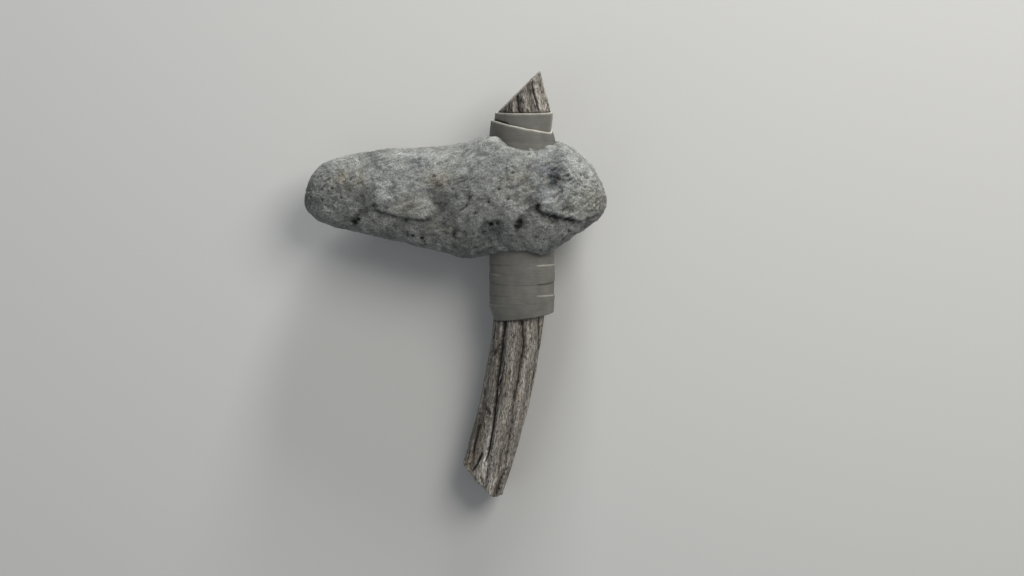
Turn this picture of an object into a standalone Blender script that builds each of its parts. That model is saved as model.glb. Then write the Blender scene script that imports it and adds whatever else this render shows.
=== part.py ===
"""A stone axe: a boulder head bored for a bent branch, and wedged on it with wound hide strip.

The pieces are made in the axe's own frame, in metres: +X from the bit to the poll, +Y from
the butt to the tip of the haft, +Z out of the front face. Its origin is on the bore's axis,
at half the head's height. One empty then lays the whole axe down on its back, on the flat
of the stone's belly and a small flat under the butt, with the floor at Z = 0.
"""

import math

import bpy
import numpy as np

# Driving dimensions of the stone head, in metres.
BIT_LENGTH = 0.1515
POLL_LENGTH = 0.0592
STONE_HEIGHT = 0.0847
STONE_WALL = 0.0151
BELLY_FLAT_DEPTH = 0.0016

# Driving dimensions of the haft.
HAFT_DIAMETER = 0.037
GRIP_DIAMETER = 0.0355
TIP_DIAMETER = 0.0325
TIP_LENGTH = 0.0284
GRIP_LENGTH = 0.1249
BEND_RADIUS = 0.43
BEND_LENGTH = 0.12
BEND_BELOW_STONE = 0.004
TIP_SWAY = 0.0013
TIP_LEAN = 0.0050
TIP_CUT_ANGLE = math.radians(44.2)
BUTT_CUT_ANGLE = math.radians(46.0)
BUTT_HEEL_ANGLE = math.radians(4.0)
BUTT_FLAT_DEPTH = 0.0012

# Driving dimensions of the hide strip and its two bindings.
STRIP_THICKNESS = 0.0013
PACKING = 0.0043
UPPER_BINDING_LENGTH = 0.0179
LOWER_BINDING_LENGTH = 0.0465
LAP_HEIGHT = 0.0007
EDGE_SLOPE = 0.0005

# The gap between two pieces that touch.
CLEARANCE = 0.0003

BORE_RADIUS = HAFT_DIAMETER / 2 + PACKING + 2 * CLEARANCE
STONE_HALF_THICKNESS = BORE_RADIUS + STONE_WALL
PACKED_RADIUS = BORE_RADIUS - CLEARANCE

# The stone's outline seen from the front. A place along it is a share of BIT_LENGTH before
# the bore's axis and of POLL_LENGTH after it, and a height is a share of STONE_HEIGHT.
STONE_OUTLINE = (
    # along, top, bottom
    (-1.000, -0.058, -0.058),
    (-0.970, 0.157, -0.149),
    (-0.915, 0.264, -0.215),
    (-0.804, 0.331, -0.273),
    (-0.610, 0.388, -0.347),
    (-0.388, 0.405, -0.446),
    (-0.249, 0.446, -0.504),
    (-0.166, 0.496, -0.479),
    (-0.079, 0.484, -0.463),
    (0.000, 0.479, -0.471),
    (0.225, 0.470, -0.498),
    (0.426, 0.446, -0.413),
    (0.568, 0.405, -0.331),
    (0.709, 0.322, -0.269),
    (0.851, 0.215, -0.203),
    (0.922, 0.124, -0.156),
    (0.971, 0.053, -0.100),
    (1.000, -0.017, -0.017),
)

# How far the stone's front and its flatter belly stand from its middle, as shares of half its
# thickness at the bore.
STONE_THICKNESS = (
    # along, front, belly
    (-1.000, 0.00, 0.00),
    (-0.970, 0.29, 0.33),
    (-0.915, 0.42, 0.49),
    (-0.804, 0.54, 0.69),
    (-0.610, 0.65, 0.91),
    (-0.388, 0.78, 1.01),
    (-0.166, 0.95, 1.02),
    (0.000, 1.00, 1.00),
    (0.426, 0.97, 0.91),
    (0.709, 0.80, 0.74),
    (0.890, 0.54, 0.51),
    (0.971, 0.29, 0.28),
    (1.000, 0.00, 0.00),
)

# How square each quarter of the stone's section is: 2 is an ellipse.
TOP_SQUARENESS = 2.3
BOTTOM_SQUARENESS = 3.0

# Ledges on the front, where the stone above stands proud of the stone below. A point's place
# along is a share as in the outline. Its height, the step, how far a ledge is felt, half the
# width of its slope and how far its ends fade are shares of STONE_HEIGHT. Of the step,
# LEDGE_SUNK is below the face.
LEDGES = (
    {"line": ((-0.69, -0.07), (-0.64, -0.15), (-0.58, -0.17), (-0.45, -0.205)), "step": 0.040},
    {"line": ((0.21, -0.12), (0.38, -0.16), (0.62, -0.19), (0.90, -0.17)), "step": 0.050},
)
LEDGE_REACH = 0.085
LEDGE_SLOPE = 0.02
LEDGE_FADE = 0.06
LEDGE_SUNK = 0.6

# Hollows and swells: side (1 front, -1 back), along, height, radius along and radius up as
# shares of STONE_HEIGHT, and depth as a share of it. A negative depth is a swell.
HOLLOWS = (
    (1, -0.37, -0.16, 0.09, 0.22, 0.026),
    (1, -0.25, -0.38, 0.16, 0.14, 0.030),
    (1, 0.30, 0.13, 0.22, 0.17, 0.022),
    (1, -0.71, 0.30, 0.12, 0.08, 0.014),
    (1, -0.80, -0.20, 0.10, 0.10, 0.018),
    (1, 0.05, -0.28, 0.10, 0.12, 0.020),
    (1, -0.50, 0.02, 0.22, 0.16, -0.016),
    (1, 0.72, 0.02, 0.16, 0.14, -0.022),
    (-1, -0.55, 0.12, 0.26, 0.15, 0.022),
    (-1, -0.25, -0.24, 0.20, 0.13, 0.026),
    (-1, 0.45, 0.18, 0.20, 0.16, 0.026),
    (-1, -0.78, -0.08, 0.14, 0.14, -0.018),
)

# Shoulders that stand up on the front beside the bore's mouth: along, and then how far out,
# radius along, radius out and height as shares of STONE_HEIGHT. Between the two heights of
# SHOULDER_FOOT, shares too, they rise from nothing to their full height.
SHOULDERS = (
    (-0.102, 0.212, 0.077, 0.118, 0.050),
    (-0.165, 0.283, 0.094, 0.177, 0.028),
)
SHOULDER_FOOT = (0.15, 0.38)

# Broad lumps all over the stone: waves along, up and out for each STONE_HEIGHT, phase, and
# height as a share of it.
LUMPS = (
    (1.1, 2.1, 1.3, 0.4, 0.0060),
    (2.3, -1.2, 1.7, 2.1, 0.0045),
    (-1.7, 2.6, 2.4, 4.0, 0.0035),
    (3.4, 1.9, -2.8, 1.2, 0.0028),
)

STONE_RINGS = 48
STONE_SIDES = 42
BORE_SIDES = 48

# Furrows of the haft: angle from the front towards the poll at the head's underside, half
# width in degrees and depth as a share of HAFT_DIAMETER.
FURROWS = (
    (-35.0, 7.0, 0.050),
    (3.0, 9.0, 0.028),
    (42.0, 8.0, 0.026),
    (82.0, 9.0, 0.040),
    (118.0, 8.0, 0.024),
    (158.0, 10.0, 0.036),
    (200.0, 8.0, 0.028),
    (236.0, 9.0, 0.045),
    (284.0, 8.0, 0.030),
)
# The grain turns round the haft by this much over the grip's length, faster towards the butt:
# at the rate that it starts with it would turn by EARLY_TWIST of that.
GRAIN_TWIST = math.radians(48.0)
EARLY_TWIST = 0.27
# Where the butt's slant ends and its heel starts, as a share of the haft's radius.
BUTT_HEEL_PLACE = 0.6

HAFT_SIDES = 48
HAFT_RINGS = 34
BINDING_SIDES = 40
LINING_RINGS = 5

# The edges of the wound strip's turns. Each is a height on the bit side and one on the poll
# side, as shares of the binding's length below, or above, the stone.
UPPER_TURN = (0.70, 0.22)
# How far the flared turn stands off the closer one, in strip thicknesses.
TURN_FLARE = 1.6
LOWER_TURNS = (
    (0.17, 0.17),
    (0.30, 0.26),
    (0.43, 0.42),
    (0.64, 0.61),
    (0.755, 0.74),
)
LOWER_END = (1.0, 0.88)
# The share of the lower binding's length over which its end is drawn in.
DRAWN_IN = 0.07


def clear_scene():
    for obj in list(bpy.data.objects):
        bpy.data.objects.remove(obj, do_unlink=True)


def material(name, colour, roughness):
    made = bpy.data.materials.new(name)
    made.use_nodes = True
    shader = made.node_tree.nodes["Principled BSDF"]
    shader.inputs["Base Color"].default_value = (*colour, 1.0)
    shader.inputs["Roughness"].default_value = roughness
    shader.inputs["Metallic"].default_value = 0.0
    return made


def curve_through(points, at):
    """A smooth curve through (place, value) points that doesn't overshoot them, read at `at`."""
    x, y = np.asarray(points, float).T
    span = np.diff(x)
    rise = np.diff(y) / span
    slope = np.zeros(len(x))
    slope[0], slope[-1] = rise[0], rise[-1]
    same_way = rise[:-1] * rise[1:] > 0
    mean = 2 * rise[:-1] * rise[1:] / np.where(same_way, rise[:-1] + rise[1:], 1.0)
    slope[1:-1] = np.where(same_way, mean, 0.0)
    i = np.clip(np.searchsorted(x, at) - 1, 0, len(span) - 1)
    t = (at - x[i]) / span[i]
    return (
        y[i] * (1 + 2 * t) * (1 - t) ** 2
        + y[i + 1] * t**2 * (3 - 2 * t)
        + span[i] * t * (1 - t) * (slope[i] * (1 - t) - slope[i + 1] * t)
    )


def smooth_step(low, high, value):
    t = np.clip((value - low) / (high - low), 0.0, 1.0)
    return t * t * (3 - 2 * t)


def object_from(name, points, faces, finish, parent):
    mesh = bpy.data.meshes.new(name)
    mesh.from_pydata([tuple(point) for point in points], [], faces)
    mesh.validate()
    mesh.shade_smooth()
    mesh.set_sharp_from_angle(angle=math.radians(40))
    mesh.materials.append(finish)
    obj = bpy.data.objects.new(name, mesh)
    obj.parent = parent
    bpy.context.scene.collection.objects.link(obj)
    return obj


def band_faces(rings, sides, start=0):
    """Quads between each ring of points and the next."""
    faces = []
    for ring in range(rings - 1):
        for side in range(sides):
            low = start + ring * sides
            beside = (side + 1) % sides
            faces.append((low + side, low + beside, low + sides + beside, low + sides + side))
    return faces


def capped(rings, first_pole, last_pole):
    """Points and faces of a solid made of rings with a point closing each end."""
    count, sides = rings.shape[:2]
    points = np.concatenate([rings.reshape(-1, 3), [first_pole, last_pole]])
    faces = band_faces(count, sides)
    first, last = count * sides, count * sides + 1
    top = (count - 1) * sides
    for side in range(sides):
        beside = (side + 1) % sides
        faces.append((first, beside, side))
        faces.append((last, top + side, top + beside))
    return points, faces


def tube(rings):
    """Points and faces of a tube: its rings go up the outside and down the inside, and close."""
    count, sides = rings.shape[:2]
    faces = band_faces(count, sides)
    top = (count - 1) * sides
    for side in range(sides):
        beside = (side + 1) % sides
        faces.append((top + side, top + beside, beside, side))
    return rings.reshape(-1, 3), faces


# The stone head.


def stone_x(along):
    along = np.asarray(along, float)
    return np.where(along < 0, along * BIT_LENGTH, along * POLL_LENGTH)


def stone_turn(x):
    """The angle whose cosine gives x: stations even in it crowd towards the round ends."""
    share = (x + BIT_LENGTH) / (BIT_LENGTH + POLL_LENGTH)
    return np.arccos(np.clip(1 - 2 * share, -1.0, 1.0))


def stone_profile(points, x):
    along, value = np.asarray(points, float).T
    return curve_through(np.column_stack([stone_turn(stone_x(along)), value]), stone_turn(x))


def stone_edges(x):
    """The heights of the stone's top and bottom outline at x."""
    outline = np.asarray(STONE_OUTLINE)
    top = stone_profile(outline[:, [0, 1]], x)
    bottom = stone_profile(outline[:, [0, 2]], x)
    return top * STONE_HEIGHT, bottom * STONE_HEIGHT


def relief(x, y, front):
    """How far the stone's face stands out at (x, y), on the front where `front` is above 0."""
    out = np.zeros_like(x)
    for side, along, height, wide, tall, depth in HOLLOWS:
        across = (x - stone_x(along)) / (wide * STONE_HEIGHT)
        up = (y - height * STONE_HEIGHT) / (tall * STONE_HEIGHT)
        on_side = smooth_step(0.05, 0.6, side * front)
        out -= depth * STONE_HEIGHT * np.exp(-(across**2) - up**2) * on_side
    for ledge in LEDGES:
        line = np.asarray(ledge["line"])
        line_x = stone_x(line[:, 0])
        end_fade = LEDGE_FADE * STONE_HEIGHT
        within = smooth_step(line_x[0] - end_fade, line_x[0] + end_fade, x)
        within = within * smooth_step(line_x[-1] + end_fade, line_x[-1] - end_fade, x)
        over = y - curve_through(
            np.column_stack([line_x, line[:, 1] * STONE_HEIGHT]), np.clip(x, line_x[0], line_x[-1])
        )
        slope = LEDGE_SLOPE * STONE_HEIGHT
        proud = smooth_step(-slope, slope, over) - LEDGE_SUNK
        felt = np.exp(-np.abs(over) / (LEDGE_REACH * STONE_HEIGHT))
        out += ledge["step"] * STONE_HEIGHT * proud * felt * within * smooth_step(0.05, 0.5, front)
    return out


def shoulders(x, y, z):
    """How far the stone's shoulders stand up."""
    foot, full = SHOULDER_FOOT
    out = np.zeros_like(y)
    for along, outward, long, deep, height in SHOULDERS:
        across = (x - stone_x(along)) / (long * STONE_HEIGHT)
        away = (z - outward * STONE_HEIGHT) / (deep * STONE_HEIGHT)
        out += height * STONE_HEIGHT * np.exp(-(across**2) - away**2)
    return out * smooth_step(foot * STONE_HEIGHT, full * STONE_HEIGHT, y)


def lumps(x, y, z):
    """The stone's broad lumps, as waves through space, so that they run on all round it."""
    out = np.zeros_like(y)
    for along, up, outward, phase, height in LUMPS:
        wave = 2 * math.pi * (along * x + up * y + outward * z) / STONE_HEIGHT + phase
        out += height * STONE_HEIGHT * np.sin(wave)
    return out


def stone_head(root, finish):
    """Rings of a squared ellipse from the bit to the poll, with the relief, and the bore cut."""
    turn = np.linspace(0.0, math.pi, STONE_RINGS + 2)[1:-1, None]
    x = -BIT_LENGTH + (BIT_LENGTH + POLL_LENGTH) * (1 - np.cos(turn)) / 2
    around = np.linspace(0.0, 2 * math.pi, STONE_SIDES, endpoint=False)[None, :]
    top, bottom = stone_edges(x)
    middle, half_height = (top + bottom) / 2, (top - bottom) / 2
    thickness = np.asarray(STONE_THICKNESS)
    up, out = np.cos(around), np.sin(around)
    front = stone_profile(thickness[:, [0, 1]], x)
    belly = stone_profile(thickness[:, [0, 2]], x)
    half_thickness = np.where(out > 0, front, belly) * STONE_HALF_THICKNESS
    square = 2 / (BOTTOM_SQUARENESS + (TOP_SQUARENESS - BOTTOM_SQUARENESS) * smooth_step(-0.5, 0.5, up))
    y = middle + half_height * np.sign(up) * np.abs(up) ** square
    z = half_thickness * np.sign(out) * np.abs(out) ** square
    x = np.broadcast_to(x, y.shape)
    lump = lumps(x, y, z) * np.sin(turn)
    carved = relief(x, y, np.broadcast_to(out, y.shape))
    y = y + 0.4 * up * lump
    z = z + out * lump + np.sign(out) * carved
    y = y + shoulders(x, y, z)
    rings = np.stack([x, y, z], axis=-1)
    bit = (-BIT_LENGTH, STONE_OUTLINE[0][1] * STONE_HEIGHT, 0.0)
    poll = (POLL_LENGTH, STONE_OUTLINE[-1][1] * STONE_HEIGHT, 0.0)
    points, faces = capped(rings, bit, poll)
    return object_from("stone_head", points, faces, finish, root)


def bore_cutter(root):
    bpy.ops.mesh.primitive_cylinder_add(
        vertices=BORE_SIDES, radius=BORE_RADIUS, depth=2 * STONE_HEIGHT, rotation=(math.pi / 2, 0, 0)
    )
    cutter = bpy.context.object
    cutter.name = "bore_cutter"
    cutter.parent = root
    cutter.hide_render = True
    cutter.display_type = "WIRE"
    return cutter


def cut_bore(stone, cutter):
    cut = stone.modifiers.new("bore", "BOOLEAN")
    cut.operation = "DIFFERENCE"
    cut.solver = "EXACT"
    cut.object = cutter


# Heights along the haft that the stone and the bindings share.

STONE_TOP, STONE_BOTTOM = (float(edge) for edge in stone_edges(np.array(0.0)))
UPPER_BINDING_TOP = STONE_TOP + UPPER_BINDING_LENGTH
TIP_HEIGHT = UPPER_BINDING_TOP + TIP_LENGTH
LOWER_BINDING_BOTTOM = STONE_BOTTOM - LOWER_BINDING_LENGTH
BUTT_HEIGHT = LOWER_BINDING_BOTTOM - GRIP_LENGTH
BEND_HEIGHT = STONE_BOTTOM - BEND_BELOW_STONE


# The haft.


def haft_axis(y):
    """The haft's middle line: straight in the head, an arc and then a straight run below it,
    a slight sway above, and a straight lean back to the tip."""
    drop = np.maximum(BEND_HEIGHT - y, 0.0)
    bent = np.minimum(drop, BEND_LENGTH)
    level = np.sqrt(BEND_RADIUS**2 - bent**2)
    arc = BEND_RADIUS - level + (drop - bent) * bent / level
    sway = TIP_SWAY * smooth_step(STONE_TOP, UPPER_BINDING_TOP, y)
    return sway - TIP_LEAN * np.maximum(y - UPPER_BINDING_TOP, 0.0) / TIP_LENGTH - arc


def haft_radius(y):
    to_tip = np.clip((y - UPPER_BINDING_TOP) / TIP_LENGTH, 0.0, 1.0)
    to_grip = smooth_step(STONE_BOTTOM, LOWER_BINDING_BOTTOM, y)
    thick = HAFT_DIAMETER + (TIP_DIAMETER - HAFT_DIAMETER) * to_tip
    return (thick + (GRIP_DIAMETER - HAFT_DIAMETER) * to_grip) / 2


def grain_turn(y):
    share = (LOWER_BINDING_BOTTOM - y) / GRIP_LENGTH
    return GRAIN_TWIST * (EARLY_TWIST * share + (1 - EARLY_TWIST) * np.maximum(share, 0.0) ** 2)


def haft_point(around, y):
    """The haft's surface at an angle from the front towards the poll, and a height."""
    radius = haft_radius(y)
    for angle, half_width, depth in FURROWS:
        away = around - math.radians(angle) - grain_turn(y)
        away = (away + math.pi) % (2 * math.pi) - math.pi
        radius = radius - depth * HAFT_DIAMETER * np.exp(-((away / math.radians(half_width)) ** 2))
    return haft_axis(y) + radius * np.sin(around), radius * np.cos(around)


def tip_cut(x):
    """The height of the slanting cut across the haft's tip, which rises towards the poll."""
    apex = haft_axis(TIP_HEIGHT) + haft_radius(TIP_HEIGHT)
    return TIP_HEIGHT + math.tan(TIP_CUT_ANGLE) * (x - apex)


def butt_cut(x):
    """The height of the butt's cut: a long slant towards the bit and a short heel."""
    lowest = haft_axis(BUTT_HEIGHT) + BUTT_HEEL_PLACE * haft_radius(BUTT_HEIGHT)
    slant = math.tan(BUTT_CUT_ANGLE) * np.maximum(lowest - x, 0.0)
    heel = math.tan(BUTT_HEEL_ANGLE) * np.maximum(x - lowest, 0.0)
    return BUTT_HEIGHT + slant + heel


def meet_cut(around, start, cut):
    """The height where the line up the haft at each angle meets a cut."""
    y = np.full_like(around, start)
    for _ in range(12):
        y = 0.5 * (y + cut(haft_point(around, y)[0]))
    return y


def haft(root, finish):
    around = np.linspace(0.0, 2 * math.pi, HAFT_SIDES, endpoint=False)
    low = meet_cut(around, BUTT_HEIGHT, butt_cut)
    high = meet_cut(around, TIP_HEIGHT, tip_cut)
    rise = np.linspace(0.0, 1.0, HAFT_RINGS)[:, None]
    y = low + (high - low) * rise
    x, z = haft_point(around[None, :], y)
    rings = np.stack([x, y, z], axis=-1)
    butt, tip = rings[0].mean(axis=0), rings[-1].mean(axis=0)
    butt[1] = float(butt_cut(butt[0]))
    tip[1] = float(tip_cut(tip[0]))
    points, faces = capped(rings, butt, tip)
    return object_from("haft", points, faces, finish, root)


# The two bindings.


def turn_edge(sides_of, length, start, around):
    """The height of a turn's edge round the haft, from its bit-side and poll-side shares."""
    bit_side, poll_side = sides_of
    share = (bit_side + poll_side) / 2 + (poll_side - bit_side) / 2 * np.sin(around)
    return start + length * share


def ring_at(around, y, centre, radius):
    y = np.broadcast_to(y, around.shape)
    centre = np.broadcast_to(centre, around.shape)
    return np.stack([centre + radius * np.sin(around), y, radius * np.cos(around)], axis=-1)


def inner_rings(around, heights):
    """Rings that keep the clearance from the haft."""
    return [ring_at(around, y, haft_axis(y), haft_radius(y) + CLEARANCE) for y in heights]


def upper_binding(root, finish):
    """From half-way up the bore to above the stone: a flared turn laid over a closer one."""
    around = np.linspace(0.0, 2 * math.pi, BINDING_SIDES, endpoint=False)
    bore_end = np.full(BINDING_SIDES, CLEARANCE / 2)
    top = np.full(BINDING_SIDES, UPPER_BINDING_TOP)
    edge = turn_edge(UPPER_TURN, UPPER_BINDING_LENGTH, STONE_TOP, around)
    close = haft_radius(edge) + CLEARANCE + STRIP_THICKNESS
    flared = close + TURN_FLARE * STRIP_THICKNESS
    mouth = np.full(BINDING_SIDES, STONE_TOP)
    outer = [
        ring_at(around, bore_end, 0.0, PACKED_RADIUS),
        ring_at(around, mouth / 2, 0.0, PACKED_RADIUS),
        ring_at(around, mouth, 0.0, PACKED_RADIUS),
        ring_at(around, edge, haft_axis(edge), np.minimum(flared, PACKED_RADIUS)),
        ring_at(around, edge + EDGE_SLOPE, haft_axis(edge), close),
        ring_at(around, top, haft_axis(top), haft_radius(top) + CLEARANCE + STRIP_THICKNESS),
    ]
    inner = inner_rings(around, [top, edge, mouth, mouth / 2, bore_end])
    points, faces = tube(np.array(outer + inner))
    return object_from("upper_binding", points, faces, finish, root)


def lower_binding(root, finish):
    """From half-way down the bore to below the stone, in lapped turns."""
    around = np.linspace(0.0, 2 * math.pi, BINDING_SIDES, endpoint=False)
    bore_end = np.full(BINDING_SIDES, -CLEARANCE / 2)
    end = turn_edge(LOWER_END, -LOWER_BINDING_LENGTH, STONE_BOTTOM, around)
    outside = PACKED_RADIUS - LAP_HEIGHT / 2
    tucked = max(outside - STRIP_THICKNESS, GRIP_DIAMETER / 2 + CLEARANCE + 2 * STRIP_THICKNESS)
    mouth = np.full(BINDING_SIDES, STONE_BOTTOM)
    drawn = end + (mouth - end) * DRAWN_IN
    outer = [ring_at(around, end, 0.0, tucked), ring_at(around, drawn, 0.0, outside)]
    for turn in reversed(LOWER_TURNS):
        edge = turn_edge(turn, -LOWER_BINDING_LENGTH, STONE_BOTTOM, around)
        outer.append(ring_at(around, edge - EDGE_SLOPE / 2, 0.0, outside - LAP_HEIGHT / 2))
        outer.append(ring_at(around, edge + EDGE_SLOPE / 2, 0.0, outside + LAP_HEIGHT / 2))
    outer.append(ring_at(around, mouth / 2, 0.0, PACKED_RADIUS))
    outer.append(ring_at(around, bore_end, 0.0, PACKED_RADIUS))
    heights = [mouth + (end - mouth) * share for share in np.linspace(0.0, 1.0, LINING_RINGS)]
    points, faces = tube(np.array(outer + inner_rings(around, [bore_end] + heights)))
    return object_from("lower_binding", points, faces, finish, root)


# Laying the axe down.


def points_of(obj):
    points = np.empty(len(obj.data.vertices) * 3)
    obj.data.vertices.foreach_get("co", points)
    return points.reshape(-1, 3)


def height_when_tilted(points, tilt):
    return points[:, 1] * math.sin(tilt) + points[:, 2] * math.cos(tilt)


def resting_tilt(stone, branch):
    """The tilt about X at which the belly's flat and the butt's flat lie in one plane."""
    level, steep = 0.0, math.radians(30)
    for _ in range(40):
        tilt = (level + steep) / 2
        belly = height_when_tilted(points_of(stone), tilt).min() + BELLY_FLAT_DEPTH
        butt = height_when_tilted(points_of(branch), tilt).min() + BUTT_FLAT_DEPTH
        if butt > belly:
            level = tilt
        else:
            steep = tilt
    return tilt, -belly


def flatten_below(obj, tilt, lift):
    """Moves every point that would be under the floor straight up to it."""
    points = points_of(obj)
    under = np.minimum(height_when_tilted(points, tilt) + lift, 0.0)
    points[:, 1] -= under * math.sin(tilt)
    points[:, 2] -= under * math.cos(tilt)
    obj.data.vertices.foreach_set("co", points.ravel())
    obj.data.update()


def lay_down(root, pieces):
    stone, branch = pieces[:2]
    tilt, lift = resting_tilt(stone, branch)
    for piece in (stone, branch):
        flatten_below(piece, tilt, lift)
    root.rotation_euler = (tilt, 0.0, 0.0)
    turned = np.concatenate([points_of(piece) for piece in pieces])
    along = turned[:, 1] * math.cos(tilt) - turned[:, 2] * math.sin(tilt)
    middle_x = (turned[:, 0].min() + turned[:, 0].max()) / 2
    middle_y = (along.min() + along.max()) / 2
    root.location = (-middle_x, -middle_y, lift)


def main():
    clear_scene()
    root = bpy.data.objects.new("axe", None)
    bpy.context.scene.collection.objects.link(root)
    stone_finish = material("grey_boulder", (0.23, 0.235, 0.22), 0.9)
    wood_finish = material("weathered_branch", (0.19, 0.17, 0.145), 0.85)
    hide_finish = material("hide_strip", (0.16, 0.155, 0.13), 0.75)
    stone = stone_head(root, stone_finish)
    branch = haft(root, wood_finish)
    upper = upper_binding(root, hide_finish)
    lower = lower_binding(root, hide_finish.copy())
    lay_down(root, (stone, branch, upper, lower))
    cut_bore(stone, bore_cutter(root))


main()
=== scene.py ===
"""Looks of a stone axe: a boulder head on a bent branch, wedged with wound hide strip.

Each piece is one surface worked out on a grid of two parameters in the axe's own frame (+X from
the bit to the poll, +Y from the butt to the haft's tip, +Z out of the head's front), and then
laid down with the model. Lengths are metres, and the lists whose names end in MM are millimetres.
"""

import math

import bpy
import numpy as np
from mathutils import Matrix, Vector


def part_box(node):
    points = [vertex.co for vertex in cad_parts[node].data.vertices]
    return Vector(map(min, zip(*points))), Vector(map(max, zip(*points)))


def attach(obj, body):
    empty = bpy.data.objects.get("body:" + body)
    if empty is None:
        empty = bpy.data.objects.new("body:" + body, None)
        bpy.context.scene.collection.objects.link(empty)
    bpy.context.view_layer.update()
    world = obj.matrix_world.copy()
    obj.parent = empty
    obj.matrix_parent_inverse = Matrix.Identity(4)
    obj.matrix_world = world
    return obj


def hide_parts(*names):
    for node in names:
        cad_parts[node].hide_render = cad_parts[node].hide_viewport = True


bl_info = {
    "name": "Stone Axe Looks",
    "version": (1, 0, 0),
    "blender": (4, 5, 0),
    "location": "3D View > Sidebar > Stone Axe",
    "description": "A boulder head, a weathered branch and hide bindings, with a stage",
    "category": "Add Mesh",
}

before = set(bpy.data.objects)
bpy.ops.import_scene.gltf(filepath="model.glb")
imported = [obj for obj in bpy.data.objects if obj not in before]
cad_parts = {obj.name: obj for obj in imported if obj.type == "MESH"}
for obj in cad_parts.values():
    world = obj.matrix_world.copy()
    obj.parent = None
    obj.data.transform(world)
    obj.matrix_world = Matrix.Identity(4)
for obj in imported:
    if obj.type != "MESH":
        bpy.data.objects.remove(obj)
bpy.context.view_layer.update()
MM = 0.001

# The reference view leans this far from the axe's front towards the tip, and looks at this
# point from this far. Marks of the front are listed where they show in that view, as X and up
# the picture, to the scale that holds at the view's middle.
VIEW_ANGLE = math.radians(7.0)
VIEW_CENTRE = (-7.0 * MM, -64.4 * MM, 0.0)
VIEW_DISTANCE = 1.593

# The axe's own frame, worked out from where the two bindings meet half-way down the bore.
UPPER_BOX = np.array(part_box("upper_binding"))
LOWER_BOX = np.array(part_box("lower_binding"))
CLEARANCE = 0.0003
BORE_CENTRE = (UPPER_BOX[0] + LOWER_BOX[1]) / 2
PACKED_RADIUS = (LOWER_BOX[1, 0] - LOWER_BOX[0, 0]) / 2
RESTING_TILT = math.asin(((LOWER_BOX[1, 1] - UPPER_BOX[0, 1]) / 2 + CLEARANCE / 2) / PACKED_RADIUS)

# The stone head's driving sizes, as in the model.
BIT_LENGTH = 0.1515
POLL_LENGTH = 0.0592
STONE_HEIGHT = 0.0847
STONE_WALL = 0.0151
BORE_RADIUS = PACKED_RADIUS + CLEARANCE
STONE_HALF_THICKNESS = BORE_RADIUS + STONE_WALL

# The haft's driving sizes, as in the model.
HAFT_DIAMETER = 0.037
GRIP_DIAMETER = 0.0355
TIP_DIAMETER = 0.0325
TIP_LENGTH = 0.0284
GRIP_LENGTH = 0.1249
BEND_RADIUS = 0.43
BEND_LENGTH = 0.12
BEND_BELOW_STONE = 0.004
TIP_SWAY = 0.0013
TIP_LEAN = 0.0050
TIP_CUT_ANGLE = math.radians(44.2)
BUTT_CUT_ANGLE = math.radians(46.0)
BUTT_HEEL_ANGLE = math.radians(4.0)
# The butt's lowest place, as a share of its radius from its middle towards the poll.
BUTT_HEEL_PLACE = 0.6
# How far the grain turns over the grip, and the share of it that is even along the grip.
GRAIN_TWIST = math.radians(48.0)
EARLY_TWIST = 0.27

# The bindings' driving sizes, as in the model.
STRIP_THICKNESS = 0.0013
UPPER_BINDING_LENGTH = 0.0179
LOWER_BINDING_LENGTH = 0.0465

# Grids: the stone's rings and sides, the haft's sides and its rows below, under and above the
# bindings, the rows of a cut face, and the sides of a binding and of the bore.
STONE_RINGS, STONE_SIDES = 318, 286
HAFT_SIDES = 340
HAFT_ROWS = (170, 14, 52)
CUT_ROWS = 13
BINDING_SIDES = 420
BORE_SIDES = 192

# The stone's outline from the front: along (a share of the bit's or the poll's length), top
# and bottom (shares of its height).
STONE_OUTLINE = (
    (-1.000, -0.058, -0.058),
    (-0.970, 0.157, -0.149),
    (-0.915, 0.264, -0.215),
    (-0.804, 0.331, -0.273),
    (-0.610, 0.388, -0.347),
    (-0.388, 0.405, -0.446),
    (-0.249, 0.446, -0.504),
    (-0.166, 0.496, -0.479),
    (-0.079, 0.484, -0.463),
    (0.000, 0.479, -0.471),
    (0.225, 0.470, -0.498),
    (0.426, 0.446, -0.413),
    (0.568, 0.405, -0.331),
    (0.709, 0.322, -0.269),
    (0.851, 0.215, -0.203),
    (0.922, 0.124, -0.156),
    (0.971, 0.053, -0.100),
    (1.000, -0.017, -0.017),
)

# How far the front and the flatter belly stand from the middle, as shares of half the
# thickness at the bore: along, front, belly.
STONE_THICKNESS = (
    (-1.000, 0.00, 0.00),
    (-0.970, 0.29, 0.33),
    (-0.915, 0.42, 0.49),
    (-0.804, 0.54, 0.69),
    (-0.610, 0.65, 0.91),
    (-0.388, 0.78, 1.01),
    (-0.166, 0.95, 1.02),
    (0.000, 1.00, 1.00),
    (0.426, 0.97, 0.91),
    (0.709, 0.80, 0.74),
    (0.890, 0.54, 0.51),
    (0.971, 0.29, 0.28),
    (1.000, 0.00, 0.00),
)
# How square the section is: 2 is an ellipse.
TOP_SQUARENESS = 2.3
BOTTOM_SQUARENESS = 3.0

# Broad lumps: waves along, up and out for each stone's height, phase, and height.
LUMPS = (
    (1.1, 2.1, 1.3, 0.4, 0.0060),
    (2.3, -1.2, 1.7, 2.1, 0.0045),
    (-1.7, 2.6, 2.4, 4.0, 0.0035),
    (3.4, 1.9, -2.8, 1.2, 0.0028),
)

# The stone's columns stand closer on the front by this share. Its carving fades out at the two
# ends, where the sine of the turn is below END_FADE, and END_ROUGHNESS of the skin is left.
FRONT_CROWDING = 0.25
END_FADE = 0.12
END_ROUGHNESS = 0.35
# What stands out of the stone is held back by this share, so that it stays near the model.
HELD_BACK = 0.35
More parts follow.
